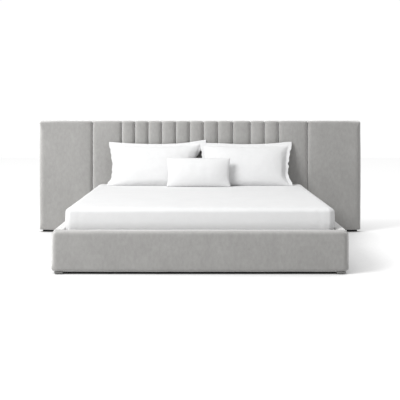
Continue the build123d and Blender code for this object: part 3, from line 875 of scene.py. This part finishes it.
def pillow(
    name, body, finish, middle_x, top_y, lean, cut, draw, step, seed,
    flange=0, ears=(0, 0), rises=(0, 0), skew=0, tuck=0,
):
    """One pillow: its case is cut, filled and set down so that it leans back with its top at top_y.

    cut is the case's width, height and thickness. ears are how far its left and right upper corners are
    drawn sideways, rises how far they stand up, and skew how far its inner end stands forward."""
    width, height, thickness = cut
    mesh, stuffed, laid, hanging = pillow_bag(name + "_case", cut, flange, draw, step, tuck, seed)
    faces = [list(face.vertices) for face in mesh.polygons]
    case = bpy.data.objects.new(name + "_case", mesh)
    bpy.context.scene.collection.objects.link(case)
    volume = pillow_fill * (width - 2 * flange) * (height - 2 * flange) * thickness
    points = fill_pillow(case, stuffed, laid, volume)
    bpy.data.objects.remove(case)
    lay_flange(points, laid)
    rest = sheet_top + pillow_rest_gap
    up = Vector((0, math.sin(lean), math.cos(lean)))
    ahead = Vector((0, -math.cos(lean), math.sin(lean)))
    foot = Vector((middle_x, top_y - (height - flange) * math.sin(lean), rest))
    leaned = []
    for point in points:
        share = point.x / (width / 2)
        upper = smooth_step(-0.1, 0.5, point.y / height)
        pull = ears[0] * smooth_step(0.45, 1, -share) + ears[1] * smooth_step(0.45, 1, share)
        rise = rises[0] * smooth_step(0.5, 1, -share) + rises[1] * smooth_step(0.5, 1, share)
        forward = skew * (0.5 - share / 2 * math.copysign(1, middle_x))
        level = point.y + height / 2 - flange + rise * upper
        leaned.append(foot + Vector((point.x + pull * upper, -forward, 0)) + up * level + ahead * point.z)
    settle(leaned, hanging, rest)
    finished_pillow(name, leaned, faces, body, finish)


# Dust covers and webbing


def dust_cover(name, finish):
    """Thin black cloth stapled over the back of one section, a little slack between its staples."""
    node = f"headboard_{name}_back_cover"
    low, high = low_high(node)
    cloth_step = 0.02
    slack_depth, slack_size, slack_edge = 0.0007, 0.22, 0.05
    outer_face, inner_face = low.y + 0.0011, low.y + 0.0003
    across = even(low.x, high.x, cloth_step)
    up = even(low.z, high.z, cloth_step)

    def surfaces(key):
        x, z = across[key[1]], up[key[0]]
        edge = min(x - low.x, high.x - x, z - low.z, high.z - z)
        slack = slack_depth * smooth_step(0, slack_edge, edge) * (1 + waver((x, 0, z), slack_size, 71)) / 2
        return (x, outer_face - slack, z), (x, inner_face - slack, z)

    mesh = shell(f"{name}_dust_cover", strip_cells(len(up), len(across)), surfaces)
    piece = put(f"{name}_dust_cover", mesh, "bed_frame", finish)
    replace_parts(piece, node)


def slat_strap(side, name, finish):
    """One strap of webbing under the slats, sagging a little between them."""
    low, high = low_high("slat_webbing")
    slats_low, slats_high = low_high("right_slats")
    half_width = 0.019
    slat_count = 14
    slat_width = 0.07
    sag_depth = 0.003
    top_gap = 0.0002
    pitch = (slats_high.y - slats_low.y - slat_width) / (slat_count - 1)
    along = even(low.y, high.y, 0.01)
    columns = even(-half_width, half_width, 0.006)

    def surfaces(key):
        y = along[key[0]]
        x = side * (high.x - half_width) + columns[key[1]]
        free = max(0, (y - slats_low.y) % pitch - slat_width) / (pitch - slat_width)
        sag = sag_depth * math.sin(math.pi * free)
        return (x, y, high.z - top_gap - sag), (x, y, low.z - sag)

    mesh = shell(f"{name}_slat_strap", strip_cells(len(along), len(columns)), surfaces)
    return put(f"{name}_slat_strap", mesh, "bed_frame", finish)


# Nodes


def node_in(tree, kind, settings=None, **inputs):
    """A node of this kind; inputs are plain values or other nodes' outputs, by the socket's name."""
    node = tree.nodes.new(kind)
    for name, value in (settings or {}).items():
        setattr(node, name, value)
    for name, value in inputs.items():
        socket = node.inputs[name.replace("_", " ")]
        if isinstance(value, bpy.types.NodeSocket):
            tree.links.new(value, socket)
        else:
            socket.default_value = value
    return node


def maths(tree, operation, first, second=0):
    """The result of one sum on two sockets or numbers."""
    node = tree.nodes.new("ShaderNodeMath")
    node.operation = operation
    for number, value in enumerate((first, second)):
        if isinstance(value, bpy.types.NodeSocket):
            tree.links.new(value, node.inputs[number])
        else:
            node.inputs[number].default_value = value
    return node.outputs[0]


def scaled(tree, value, factor, added):
    """A socket's value times a factor, plus a number or another socket's value."""
    return maths(tree, "ADD", maths(tree, "MULTIPLY", value, factor), added)


def new_tree(kind, name, inputs, outputs):
    """A node tree of this kind with the named inputs and outputs, and its inner ends."""
    tree = bpy.data.node_groups.new(name, kind)
    for socket, socket_kind, value in inputs:
        item = tree.interface.new_socket(socket, in_out="INPUT", socket_type=socket_kind)
        if value is not None:
            item.default_value = value
    for socket, socket_kind in outputs:
        tree.interface.new_socket(socket, in_out="OUTPUT", socket_type=socket_kind)
    return tree, tree.nodes.new("NodeGroupInput").outputs, tree.nodes.new("NodeGroupOutput").inputs


# What repeats: screws and staples, made by Geometry Nodes


def repeat_tree(name, sizes):
    """An empty tree for a form on points, with its sizes, a seed and a finish as inputs."""
    inputs = [("Geometry", "NodeSocketGeometry", None)]
    inputs += [(size, "NodeSocketFloat", value) for size, value in sizes]
    inputs += [("Seed", "NodeSocketInt", 1), ("Finish", "NodeSocketMaterial", None)]
    return new_tree("GeometryNodeTree", name, inputs, (("Geometry", "NodeSocketGeometry"),))


def set_on_points(tree, form, given, out):
    """Stands a form on each point, its Z along the point's facing and turned at random, in its finish."""
    facing = node_in(tree, "GeometryNodeInputNamedAttribute", {"data_type": "FLOAT_VECTOR"}, Name="facing")
    upright = node_in(tree, "FunctionNodeAlignRotationToVector", {"axis": "Z"}, Vector=facing.outputs[0])
    spin = node_in(tree, "FunctionNodeRandomValue", {"data_type": "FLOAT"}, Seed=given["Seed"])
    tree.links.new(maths(tree, "MULTIPLY", given["Turn"], -1), spin.inputs[2])
    tree.links.new(given["Turn"], spin.inputs[3])
    axis = node_in(tree, "ShaderNodeCombineXYZ", Z=spin.outputs[1])
    turned = node_in(tree, "FunctionNodeRotateRotation", {"rotation_space": "LOCAL"})
    tree.links.new(upright.outputs[0], turned.inputs[0])
    tree.links.new(axis.outputs[0], turned.inputs[1])
    points = node_in(tree, "GeometryNodeMeshToPoints", Mesh=given["Geometry"])
    set_down = node_in(
        tree, "GeometryNodeInstanceOnPoints",
        Points=points.outputs[0], Instance=form, Rotation=turned.outputs[0],
    )
    real = node_in(tree, "GeometryNodeRealizeInstances", Geometry=set_down.outputs[0])
    painted = node_in(tree, "GeometryNodeSetMaterial", Geometry=real.outputs[0], Material=given["Finish"])
    tree.links.new(painted.outputs[0], out["Geometry"])


def merged(tree, operation, first, others):
    """Joins forms to the first one, or cuts them from it; a union takes them all together."""
    node = node_in(tree, "GeometryNodeMeshBoolean", {"operation": operation})
    if operation == "DIFFERENCE":
        tree.links.new(first.outputs[0], node.inputs[0])
    else:
        others = (first, *others)
    for form in others:
        tree.links.new(form.outputs[0], node.inputs[1])
    return node


def screw_tree():
    """Round screw heads with a cross recess."""
    sizes = (("Head radius", 0.004), ("Head height", 0.0022), ("Turn", 3.1))
    tree, given, out = repeat_tree("screw_heads", sizes)
    radius, height = given["Head radius"], given["Head height"]
    rim = node_in(tree, "GeometryNodeMeshCylinder", Vertices=16, Radius=radius, Depth=height)
    crown_form = node_in(tree, "GeometryNodeMeshUVSphere", Segments=16, Rings=8, Radius=radius)
    flatter = node_in(tree, "ShaderNodeCombineXYZ", X=0.96, Y=0.96, Z=0.5)
    dome = node_in(tree, "GeometryNodeTransform", Geometry=crown_form.outputs[0], Scale=flatter.outputs[0])
    recess = node_in(
        tree, "ShaderNodeVectorMath", {"operation": "SCALE"}, Vector=(1.25, 0.26, 0.9), Scale=radius
    )
    slot = node_in(tree, "GeometryNodeMeshCube", Size=recess.outputs[0])
    raised = node_in(tree, "ShaderNodeCombineXYZ", Z=height)
    cross = []
    for angle in (0, math.radians(90)):
        cross.append(node_in(
            tree, "GeometryNodeTransform", Geometry=slot.outputs[0], Translation=raised.outputs[0],
            Rotation=(0, 0, angle),
        ))
    head = merged(tree, "UNION", rim, (dome,))
    set_on_points(tree, merged(tree, "DIFFERENCE", head, cross).outputs[0], given, out)
    return tree


def staple_tree():
    """Wire staples, each a flat crown with two short legs pressed into the cloth."""
    tree, given, out = repeat_tree("staples", (("Width", 0.0105), ("Wire", 0.0007), ("Turn", 0.12)))
    width, wire = given["Width"], given["Wire"]
    bar_size = node_in(tree, "ShaderNodeCombineXYZ", X=width, Y=wire, Z=wire)
    leg_size = node_in(tree, "ShaderNodeVectorMath", {"operation": "SCALE"}, Vector=(1, 1, 2), Scale=wire)
    leg = node_in(tree, "GeometryNodeMeshCube", Size=leg_size.outputs[0])
    forms = [node_in(tree, "GeometryNodeMeshCube", Size=bar_size.outputs[0])]
    for share in (-0.47, 0.47):
        reach = maths(tree, "MULTIPLY", width, share)
        offset = node_in(tree, "ShaderNodeCombineXYZ", X=reach, Z=maths(tree, "MULTIPLY", wire, -0.6))
        forms.append(node_in(
            tree, "GeometryNodeTransform", Geometry=leg.outputs[0], Translation=offset.outputs[0]
        ))
    whole = tree.nodes.new("GeometryNodeJoinGeometry")
    for form in forms:
        tree.links.new(form.outputs[0], whole.inputs[0])
    set_on_points(tree, whole.outputs[0], given, out)
    return tree


def made_by(tree, name, places, values):
    """Runs a tree on points that carry the way they face, and keeps the result as one plain piece."""
    mesh = bpy.data.meshes.new(name)
    mesh.from_pydata([place for place, facing in places], [], [])
    ahead = mesh.attributes.new("facing", "FLOAT_VECTOR", "POINT")
    for number, (place, facing) in enumerate(places):
        ahead.data[number].vector = facing
    carrier = bpy.data.objects.new(name + "_places", mesh)
    bpy.context.scene.collection.objects.link(carrier)
    modifier = carrier.modifiers.new("repeat", "NODES")
    modifier.node_group = tree
    for item in tree.interface.items_tree:
        if item.in_out == "INPUT" and item.name in values:
            modifier[item.identifier] = values[item.name]
    done = bpy.data.meshes.new_from_object(carrier.evaluated_get(bpy.context.evaluated_depsgraph_get()))
    carrier.modifiers.remove(modifier)
    bpy.data.objects.remove(carrier)
    if "facing" in done.attributes:
        done.attributes.remove(done.attributes["facing"])
    done.name = name
    put(name, done, "bed_frame", values["Finish"])


def fitting_screw_places():
    """Where the screws of the steel fittings stand, each with the way it faces."""
    plate_inset = 0.02
    plate_reaches = (-0.034, -0.014, 0.014, 0.034)
    bracket_thickness, bracket_reach = 0.004, 0.04
    hanger_thickness, hanger_inset = 0.003, 0.014
    centre_half = centre_panel_high.x
    places = []
    for side in (-1, 1):
        low, high = low_high("joining_plates")
        for z in (low.z + plate_inset, high.z - plate_inset):
            places += [((side * centre_half + reach, high.y, z), (0, 1, 0)) for reach in plate_reaches]
    for side in (-1, 1):
        low, high = low_high("headboard_hook_plates")
        for share in (0.05, 0.5, 0.95):
            x = side * (high.x - hook_plate_width / 2)
            places.append(((x, low.y, mix(low.z, high.z, share)), (0, -1, 0)))
    for side in (-1, 1):
        low, high = low_high("corner_brackets")
        for y, facing in ((low.y, 1), (high.y, -1)):
            for share in (0.25, 0.75):
                z = mix(low.z, high.z, share)
                face_y = y + facing * bracket_thickness
                places.append(((side * (high.x - bracket_reach), face_y, z), (0, facing, 0)))
                face_x = side * (high.x - bracket_thickness)
                places.append(((face_x, y + facing * bracket_reach, z), (-side, 0, 0)))
    low, high = low_high("beam_hangers")
    for y, facing in ((low.y, 1), (high.y, -1)):
        for side in (-1, 1):
            for share in (0.25, 0.75):
                x = side * (high.x - hanger_inset)
                places.append(((x, y + facing * hanger_thickness, mix(low.z, high.z, share)), (0, facing, 0)))
    return places


def staple_places():
    """Where the staples stand along the top and bottom of the dust covers, each with the way it faces."""
    edge_inset, end_inset, pitch, cloth_face = 0.008, 0.03, 0.05, 0.0013
    places = []
    for name in ("left", "centre", "right"):
        low, high = low_high(f"headboard_{name}_back_cover")
        for x in even(low.x + end_inset, high.x - end_inset, pitch):
            for z in (high.z - edge_inset, low.z + edge_inset):
                places.append(((x, low.y + cloth_face, z), (0, 1, 0)))
    return places


def fasteners(steel):
    """Screws in the steel fittings and the staples of the dust covers."""
    made_by(screw_tree(), "fitting_screws", fitting_screw_places(), {
        "Head radius": 0.0042, "Head height": 0.0022, "Turn": 3.1, "Seed": 3, "Finish": steel,
    })
    made_by(staple_tree(), "dust_cover_staples", staple_places(), {
        "Width": 0.0105, "Wire": 0.0008, "Turn": 0.12, "Seed": 8, "Finish": steel,
    })


# Patterns that more than one finish uses
place_input = ("Place", "NodeSocketVector", None)


def mottle_group():
    """Uneven shade at two sizes, such as pile brushed both ways, from 0 to 1 about a half."""
    sizes = (("Broad size", 0.18), ("Fine size", 0.02), ("Fine share", 0.5))
    inputs = [place_input] + [(name, "NodeSocketFloat", value) for name, value in sizes]
    group, given, out = new_tree("ShaderNodeTree", "mottle", inputs, (("Shade", "NodeSocketFloat"),))
    both = group.nodes.new("ShaderNodeMix")
    group.links.new(given["Fine share"], both.inputs[0])
    for number, size in ((2, "Broad size"), (3, "Fine size")):
        scale = maths(group, "DIVIDE", 1, given[size])
        cloud = node_in(
            group, "ShaderNodeTexNoise", Vector=given["Place"], Scale=scale, Detail=3, Roughness=0.55
        )
        group.links.new(cloud.outputs[0], both.inputs[number])
    group.links.new(both.outputs[0], out["Shade"])
    return group


def weave_group():
    """Height of a plain weave: threads that cross over and under, from 0 to 1."""
    inputs = (place_input, ("Thread", "NodeSocketFloat", 0.0012))
    group, given, out = new_tree("ShaderNodeTree", "weave", inputs, (("Height", "NodeSocketFloat"),))
    split = node_in(group, "ShaderNodeSeparateXYZ", Vector=given["Place"])
    turn = maths(group, "DIVIDE", math.pi, given["Thread"])
    waves = []
    for axis in ("X", "Y", "Z"):
        waves.append(maths(group, "SINE", maths(group, "MULTIPLY", split.outputs[axis], turn)))
    crossed = maths(group, "MULTIPLY", waves[0], waves[2])
    across = maths(group, "MULTIPLY", waves[1], waves[2])
    flat = maths(group, "MULTIPLY", waves[0], waves[1])
    total = maths(group, "ADD", maths(group, "ADD", crossed, across), flat)
    group.links.new(scaled(group, total, 0.33, 0.5), out["Height"])
    return group


def grain_group():
    """Long wood grain along Y of the place it is given, from 0, early wood, to 1, late wood."""
    inputs = (place_input, ("Ring", "NodeSocketFloat", 0.012))
    group, given, out = new_tree("ShaderNodeTree", "grain", inputs, (("Shade", "NodeSocketFloat"),))
    longer = node_in(group, "ShaderNodeVectorMath", {"operation": "MULTIPLY"}, Vector=given["Place"])
    longer.inputs[1].default_value = (1, 0.06, 1)
    scale = maths(group, "DIVIDE", 1, given["Ring"])
    noises = []
    for detail, factor in ((2, 0.25), (4, 6)):
        size = maths(group, "MULTIPLY", scale, factor)
        noises.append(node_in(
            group, "ShaderNodeTexNoise", Vector=longer.outputs[0], Scale=size, Detail=detail
        ).outputs[0])
    rings, fibre = noises
    bands = maths(group, "SINE", maths(group, "MULTIPLY", rings, 42))
    group.links.new(scaled(group, bands, 0.25, fibre), out["Shade"])
    return group


groups = {"mottle": mottle_group(), "weave": weave_group(), "grain": grain_group()}


# Finishes


def placed_group(tree, name, place, **values):
    """One of the shared groups in a material, with its own values."""
    return node_in(tree, "ShaderNodeGroup", {"node_tree": groups[name]}, Place=place, **values).outputs[0]


def new_finish(name, roughness, **shader_values):
    """A material with a Principled shader, and the object coordinates that its pattern follows."""
    finish = bpy.data.materials.new(name)
    finish.use_nodes = True
    tree = finish.node_tree
    shader = tree.nodes["Principled BSDF"]
    shader.inputs["Roughness"].default_value = roughness
    for key, value in shader_values.items():
        shader.inputs[key.replace("_", " ")].default_value = value
    return finish, tree, shader, tree.nodes.new("ShaderNodeTexCoord").outputs["Object"]


def shades(tree, shade, *stops):
    """Colours along a shade; each stop is its place and its colour."""
    ramp = node_in(tree, "ShaderNodeValToRGB", Fac=shade)
    while len(ramp.color_ramp.elements) < len(stops):
        ramp.color_ramp.elements.new(0.5)
    for element, (place, colour) in zip(ramp.color_ramp.elements, stops):
        element.position = place
        element.color = (*colour, 1)
    return ramp.outputs[0]


def coloured(tree, shader, shade, *stops):
    """Gives a surface its colours along a shade."""
    tree.links.new(shades(tree, shade, *stops), shader.inputs["Base Color"])


def bumped(tree, shader, height, distance, strength=1.0):
    """Raises the surface by a height map of this many metres."""
    bump = node_in(tree, "ShaderNodeBump", Height=height, Distance=distance, Strength=strength)
    tree.links.new(bump.outputs[0], shader.inputs["Normal"])


def mapped(tree, place, **values):
    """The same coordinates, scaled or turned, so that a pattern runs longer one way or along another axis."""
    return node_in(tree, "ShaderNodeMapping", Vector=place, **values).outputs[0]


def painted_pile_sheen(tree, shader, colour):
    """A painted sheen: the colour turns pale grey wherever the cloth turns away from the view."""
    turned = node_in(tree, "ShaderNodeLayerWeight", Blend=0.5)
    amount = maths(tree, "POWER", turned.outputs["Facing"], 1.9)
    both = tree.nodes.new("ShaderNodeMix")
    both.data_type = "RGBA"
    tree.links.new(amount, both.inputs[0])
    tree.links.new(colour, both.inputs[6])
    # Pale grey that the base colour is mixed towards at grazing angles: painted sheen.
    both.inputs[7].default_value = (0.92, 0.915, 0.905, 1)
    tree.links.new(both.outputs[2], shader.inputs["Base Color"])


def upholstery_cloth():
    """Short soft pile in pale grey, shaded unevenly where it is brushed, with a faint sheen and a painted
    sheen at its edges.
    """
    finish, tree, shader, place = new_finish(
        "grey_pile", 0.88, Sheen_Weight=1.0, Sheen_Roughness=0.3, Specular_IOR_Level=0.15,
        Sheen_Tint=(0.95, 0.95, 0.95, 1),
    )
    brushed = mapped(tree, place, Scale=(1, 1, 0.55))
    broad = placed_group(tree, "mottle", brushed, Broad_size=0.16, Fine_size=0.017, Fine_share=0.6)
    tufts = placed_group(tree, "mottle", place, Broad_size=0.006, Fine_size=0.0016, Fine_share=0.6)
    shade = scaled(tree, broad, 0.72, maths(tree, "MULTIPLY", tufts, 0.28))
    dark, middle, light = (0.304, 0.299, 0.291), (0.350, 0.345, 0.336), (0.396, 0.390, 0.381)
    # The ramp's colour is lightened at grazing angles, a painted sheen.
    painted_pile_sheen(tree, shader, shades(tree, shade, (0.3, dark), (0.5, middle), (0.7, light)))
    weave = placed_group(tree, "weave", place, Thread=0.0014)
    bumped(tree, shader, scaled(tree, weave, 0.35, tufts), 0.0006, 0.55)
    tree.links.new(scaled(tree, tufts, 0.1, 0.83), shader.inputs["Roughness"])
    return finish


def cotton_cloth():
    """Smooth white cotton with a fine close weave and faint creases."""
    finish, tree, shader, place = new_finish(
        "white_percale", 0.82, Sheen_Weight=0.12, Sheen_Roughness=0.5, Specular_IOR_Level=0.25
    )
    soft = placed_group(tree, "mottle", place, Broad_size=0.2, Fine_size=0.035, Fine_share=0.4)
    coloured(tree, shader, soft, (0.3, (0.705, 0.707, 0.710)), (0.7, (0.745, 0.746, 0.748)))
    weave = placed_group(tree, "weave", place, Thread=0.0005)
    creases = placed_group(tree, "mottle", place, Broad_size=0.09, Fine_size=0.022, Fine_share=0.35)
    bumped(tree, shader, scaled(tree, weave, 0.03, creases), 0.0035, 0.5)
    return finish


def ticking_cloth():
    """Mattress ticking: warm white with narrow woven stripes."""
    finish, tree, shader, place = new_finish("striped_ticking", 0.85, Sheen_Weight=0.1)
    stripe_pitch = 0.03
    split = node_in(tree, "ShaderNodeSeparateXYZ", Vector=place)
    stripes = maths(tree, "SINE", maths(tree, "MULTIPLY", split.outputs["X"], math.tau / stripe_pitch))
    band = scaled(tree, stripes, 0.5, 0.5)
    coloured(tree, shader, band, (0.86, (0.78, 0.77, 0.74)), (0.95, (0.50, 0.52, 0.54)))
    bumped(tree, shader, placed_group(tree, "weave", place, Thread=0.0009), 0.0004, 0.6)
    return finish


def dust_cloth():
    """Thin black non-woven cloth with a dimpled face."""
    finish, tree, shader, place = new_finish("black_dust_cloth", 0.9, Specular_IOR_Level=0.2)
    soft = placed_group(tree, "mottle", place, Broad_size=0.12, Fine_size=0.002, Fine_share=0.5)
    coloured(tree, shader, soft, (0.35, (0.012, 0.012, 0.013)), (0.65, (0.034, 0.034, 0.036)))
    bumped(tree, shader, placed_group(tree, "weave", place, Thread=0.0016), 0.0003, 0.7)
    return finish


def webbing_cloth():
    """Natural woven strap, its threads unevenly shaded."""
    finish, tree, shader, place = new_finish("strap_weave", 0.86)
    soft = placed_group(tree, "mottle", place, Broad_size=0.05, Fine_size=0.004, Fine_share=0.6)
    coloured(tree, shader, soft, (0.3, (0.42, 0.40, 0.35)), (0.7, (0.62, 0.60, 0.54)))
    bumped(tree, shader, placed_group(tree, "weave", place, Thread=0.0022), 0.0009, 0.8)
    return finish


grain_turns = {"x": (0, 0, math.radians(90)), "y": (0, 0, 0), "z": (math.radians(90), 0, 0)}


def wood(name, dark, light, along, ring=0.012, roughness=0.62):
    """Planed timber with its grain along one axis."""
    finish, tree, shader, place = new_finish(name, roughness, Specular_IOR_Level=0.35)
    shade = placed_group(tree, "grain", mapped(tree, place, Rotation=grain_turns[along]), Ring=ring)
    coloured(tree, shader, shade, (0.25, light), (0.75, dark))
    tree.links.new(scaled(tree, shade, 0.12, roughness - 0.08), shader.inputs["Roughness"])
    bumped(tree, shader, shade, 0.0004, 0.35)
    return finish


def black_plinth_stain_and_shade():
    """Plinths stained black, with a little grain left to see; the black is partly painted shade for the gaps.
    """
    finish, tree, shader, place = new_finish("black_stain_and_painted_gap_shade", 0.6, Specular_IOR_Level=0.3)
    shade = placed_group(tree, "grain", place, Ring=0.01)
    coloured(tree, shader, shade, (0.3, (0.014, 0.014, 0.014)), (0.9, (0.03, 0.029, 0.028)))
    bumped(tree, shader, shade, 0.0003, 0.4)
    return finish


def zinc_steel():
    """Bright zinc plate, clouded, with fine drawn lines."""
    finish, tree, shader, place = new_finish("zinc_plate", 0.34, Metallic=1.0)
    cloud = placed_group(tree, "mottle", place, Broad_size=0.03, Fine_size=0.003, Fine_share=0.4)
    coloured(tree, shader, cloud, (0.3, (0.50, 0.51, 0.53)), (0.7, (0.70, 0.71, 0.73)))
    tree.links.new(scaled(tree, cloud, 0.3, 0.2), shader.inputs["Roughness"])
    drawn = mapped(tree, place, Scale=(1, 1, 14))
    bumped(tree, shader, placed_group(tree, "mottle", drawn, Broad_size=0.01, Fine_size=0.004), 0.0001, 0.3)
    return finish


def plastic(name, colour, roughness):
    """Moulded plastic with a fine spark texture."""
    finish, tree, shader, place = new_finish(name, roughness)
    spark = placed_group(tree, "mottle", place, Broad_size=0.004, Fine_size=0.0012, Fine_share=0.7)
    darker = tuple(value * 0.86 for value in colour)
    coloured(tree, shader, spark, (0.3, darker), (0.7, colour))
    bumped(tree, shader, spark, 0.00015, 0.5)
    return finish


pine_light = (0.66, 0.49, 0.30)
pine_dark = (0.45, 0.28, 0.13)
birch_light = (0.78, 0.64, 0.46)
birch_dark = (0.60, 0.45, 0.29)
plywood_light = (0.68, 0.54, 0.37)
plywood_dark = (0.50, 0.36, 0.22)
sections = ("left", "centre", "right")
node_finishes = (
    (wood("birch_plywood", plywood_dark, plywood_light, "z", ring=0.03), [
        f"headboard_{section}_panel" for section in sections
    ]),
    (wood("pine_upright", pine_dark, pine_light, "z"), [
        "centre_legs", *(f"headboard_{section}_frame" for section in sections),
    ]),
    (wood("pine_lengthwise", pine_dark, pine_light, "y"), [
        "left_rail_board", "right_rail_board", "slat_ledges", "centre_beam",
    ]),
    (wood("pine_across", pine_dark, pine_light, "x"), ["foot_rail_board", "head_rail"]),
    (wood("birch_slats", birch_dark, birch_light, "x", ring=0.016, roughness=0.5), [
        "left_slats", "right_slats",
    ]),
    # Near-black plinths in the gaps under the rails and headboard: stain, and partly painted shade.
    (black_plinth_stain_and_shade(), [
        "side_plinths", "foot_plinth", *(f"headboard_{section}_plinth" for section in sections),
    ]),
    # Corner feet: grey plastic, its grey set darker to stand in for the shade under them; partly painted
    # shade.
    (plastic("grey_foot_plastic_and_painted_shade", (0.17, 0.17, 0.165), 0.5), ["corner_feet"]),
    (plastic("black_glide_plastic", (0.03, 0.03, 0.03), 0.45), ["corner_foot_glides", "centre_leg_glides"]),
)
for node_finish, node_names in node_finishes:
    for node_name in node_names:
        cad[node_name].data.materials.append(node_finish)
steel = zinc_steel()
steel_fittings = (
    "joining_plates", "headboard_hook_plates", "rail_hook_plates", "beam_hangers", "corner_brackets",
)
for fitting in steel_fittings:
    cad[fitting].data.materials.append(steel)


# The bed put together
pile = upholstery_cloth()
cotton = cotton_cloth()
black_cloth = dust_cloth()
strap = webbing_cloth()
for channel_number in range(1, 14):
    channel_cover(channel_number, pile)
for wing_side, wing_name in ((-1, "left"), (1, "right")):
    wing_cover(wing_side, wing_name, pile)
base_panel_cover(pile)
for rail_side, rail_name in ((-1, "left"), (1, "right")):
    side_rail_cover(rail_side, rail_name, pile)
foot_rail_pad(pile)
mattress_block(ticking_cloth())
sheet_on_mattress(cotton)
for section in sections:
    dust_cover(section, black_cloth)
slat_strap(-1, "left", strap)
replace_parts(slat_strap(1, "right", strap), "slat_webbing")
fasteners(steel)

large_pillow_x = 0.440
left_pillow_shift = 0.015
large_pillow_top_y = front_y - 0.010
front_pillow_x = -0.013
front_pillow_top_y = front_y - 0.276
large_flange = 0.034
pillow(
    "left_pillow", "pillow_left", cotton,
    middle_x=left_pillow_shift - large_pillow_x, top_y=large_pillow_top_y, lean=pillow_lean,
    cut=(0.902, 0.488, 0.158), flange=large_flange, draw=(0.066, 0.074, 0.027), step=0.0095,
    ears=(0.004, 0.046), rises=(0, 0.023), tuck=0.8, seed=79,
)
pillow(
    "right_pillow", "pillow_right", cotton, middle_x=large_pillow_x, top_y=large_pillow_top_y,
    lean=pillow_lean, cut=(0.872, 0.488, 0.158), flange=large_flange, draw=(0.026, 0.060, 0.031), step=0.0095,
    ears=(-0.008, 0.004), rises=(-0.008, 0.004), skew=0.018, seed=83,
)
pillow(
    "front_pillow", "small_pillow", cotton, middle_x=front_pillow_x, top_y=front_pillow_top_y,
    lean=small_pillow_lean, cut=(0.586, 0.270, 0.122), draw=(0.012, 0.012, 0), step=0.0085, seed=90,
)


# Camera, floor and light
camera_place = (0, -7.215, 1.1545)
camera_lens = 78.25
camera_shift = -0.2245
camera_range = 60
floor_half = 14
floor_shade = 0.57
floor_glow = 0.59
# Reach and contrast of the ambient occlusion that dims the floor's glow: painted shade.
shadow_reach = 0.9
shadow_contrast = 1.35
room_light = 0.61
backdrop_glow = 0.41


def set_camera():
    """The photograph's view: straight on, a little above the headboard, with a long lens."""
    lens = bpy.data.cameras.new("photo_camera")
    lens.lens = camera_lens
    lens.sensor_width = 36
    lens.shift_y = camera_shift
    lens.clip_end = camera_range
    stand = bpy.data.objects.new("photo_camera", lens)
    stand.location = camera_place
    stand.rotation_euler = (math.radians(90), 0, 0)
    bpy.context.scene.collection.objects.link(stand)
    bpy.context.scene.camera = stand


def seen_white(tree, shader_out, out, strength, held_back=None):
    """Adds a plain white glow for the camera and for reflections only, so that the backdrop reads white."""
    rays = tree.nodes.new("ShaderNodeLightPath")
    seen = maths(tree, "MAXIMUM", rays.outputs["Is Camera Ray"], rays.outputs["Is Glossy Ray"])
    seen = maths(tree, "MAXIMUM", seen, rays.outputs["Is Transmission Ray"])
    glowing = maths(tree, "MULTIPLY", seen, strength)
    # On the floor, held_back dims the glow where it is closed in: painted shade.
    if held_back:
        glowing = maths(tree, "MULTIPLY", glowing, held_back)
    glow = node_in(tree, "ShaderNodeEmission", Strength=glowing)
    total = tree.nodes.new("ShaderNodeAddShader")
    tree.links.new(shader_out, total.inputs[0])
    tree.links.new(glow.outputs[0], total.inputs[1])
    tree.links.new(total.outputs[0], out.inputs["Surface"])


def lay_floor():
    """A plain pale floor that keeps the bed's shadow, with its glow dimmed near the bed as painted shade."""
    half = floor_half
    mesh = bpy.data.meshes.new("floor")
    corners = [(-half, -half, 0), (half, -half, 0), (half, half, 0), (-half, half, 0)]
    mesh.from_pydata(corners, [], [(0, 1, 2, 3)])
    floor = bpy.data.objects.new("floor", mesh)
    bpy.context.scene.collection.objects.link(floor)
    paint = bpy.data.materials.new("pale_floor")
    paint.use_nodes = True
    tree = paint.node_tree
    shader = tree.nodes["Principled BSDF"]
    shader.inputs["Base Color"].default_value = (floor_shade, floor_shade, floor_shade, 1)
    shader.inputs["Roughness"].default_value = 1.0
    shader.inputs["Specular IOR Level"].default_value = 0.0
    # Ambient occlusion dims the floor's glow near and under the bed: painted shade.
    open_above = node_in(tree, "ShaderNodeAmbientOcclusion", {"samples": 24}, Distance=shadow_reach)
    clear = maths(tree, "POWER", open_above.outputs["AO"], shadow_contrast)
    seen_white(tree, shader.outputs[0], tree.nodes["Material Output"], floor_glow, clear)
    mesh.materials.append(paint)


def hang_lamp(name, place, aim, size, power):
    """A square soft lamp, aimed at a point."""
    light = bpy.data.lights.new(name, "AREA")
    light.shape = "SQUARE"
    light.size = size
    light.energy = power
    lamp = bpy.data.objects.new(name, light)
    lamp.location = place
    lamp.rotation_euler = (Vector(aim) - Vector(place)).to_track_quat("-Z", "Y").to_euler()
    bpy.context.scene.collection.objects.link(lamp)


def light_room():
    """Soft key light from the upper left, even light from all round, and a white backdrop."""
    hang_lamp("key_light", place=(-6.5, -4.8, 7.0), aim=(0, 0.2, 0.3), size=3.9, power=985)
    hang_lamp("side_light", place=(-12.5, -0.4, 2.2), aim=(0, 0.5, 0.6), size=3.6, power=190)
    world = bpy.data.worlds.new("room")
    bpy.context.scene.world = world
    world.use_nodes = True
    tree = world.node_tree
    base = tree.nodes["Background"]
    base.inputs["Color"].default_value = (1, 1, 1, 1)
    base.inputs["Strength"].default_value = room_light
    seen_white(tree, base.outputs[0], tree.nodes["World Output"], backdrop_glow)


set_camera()
lay_floor()
light_room()
bpy.context.scene.view_settings.view_transform = "Standard"
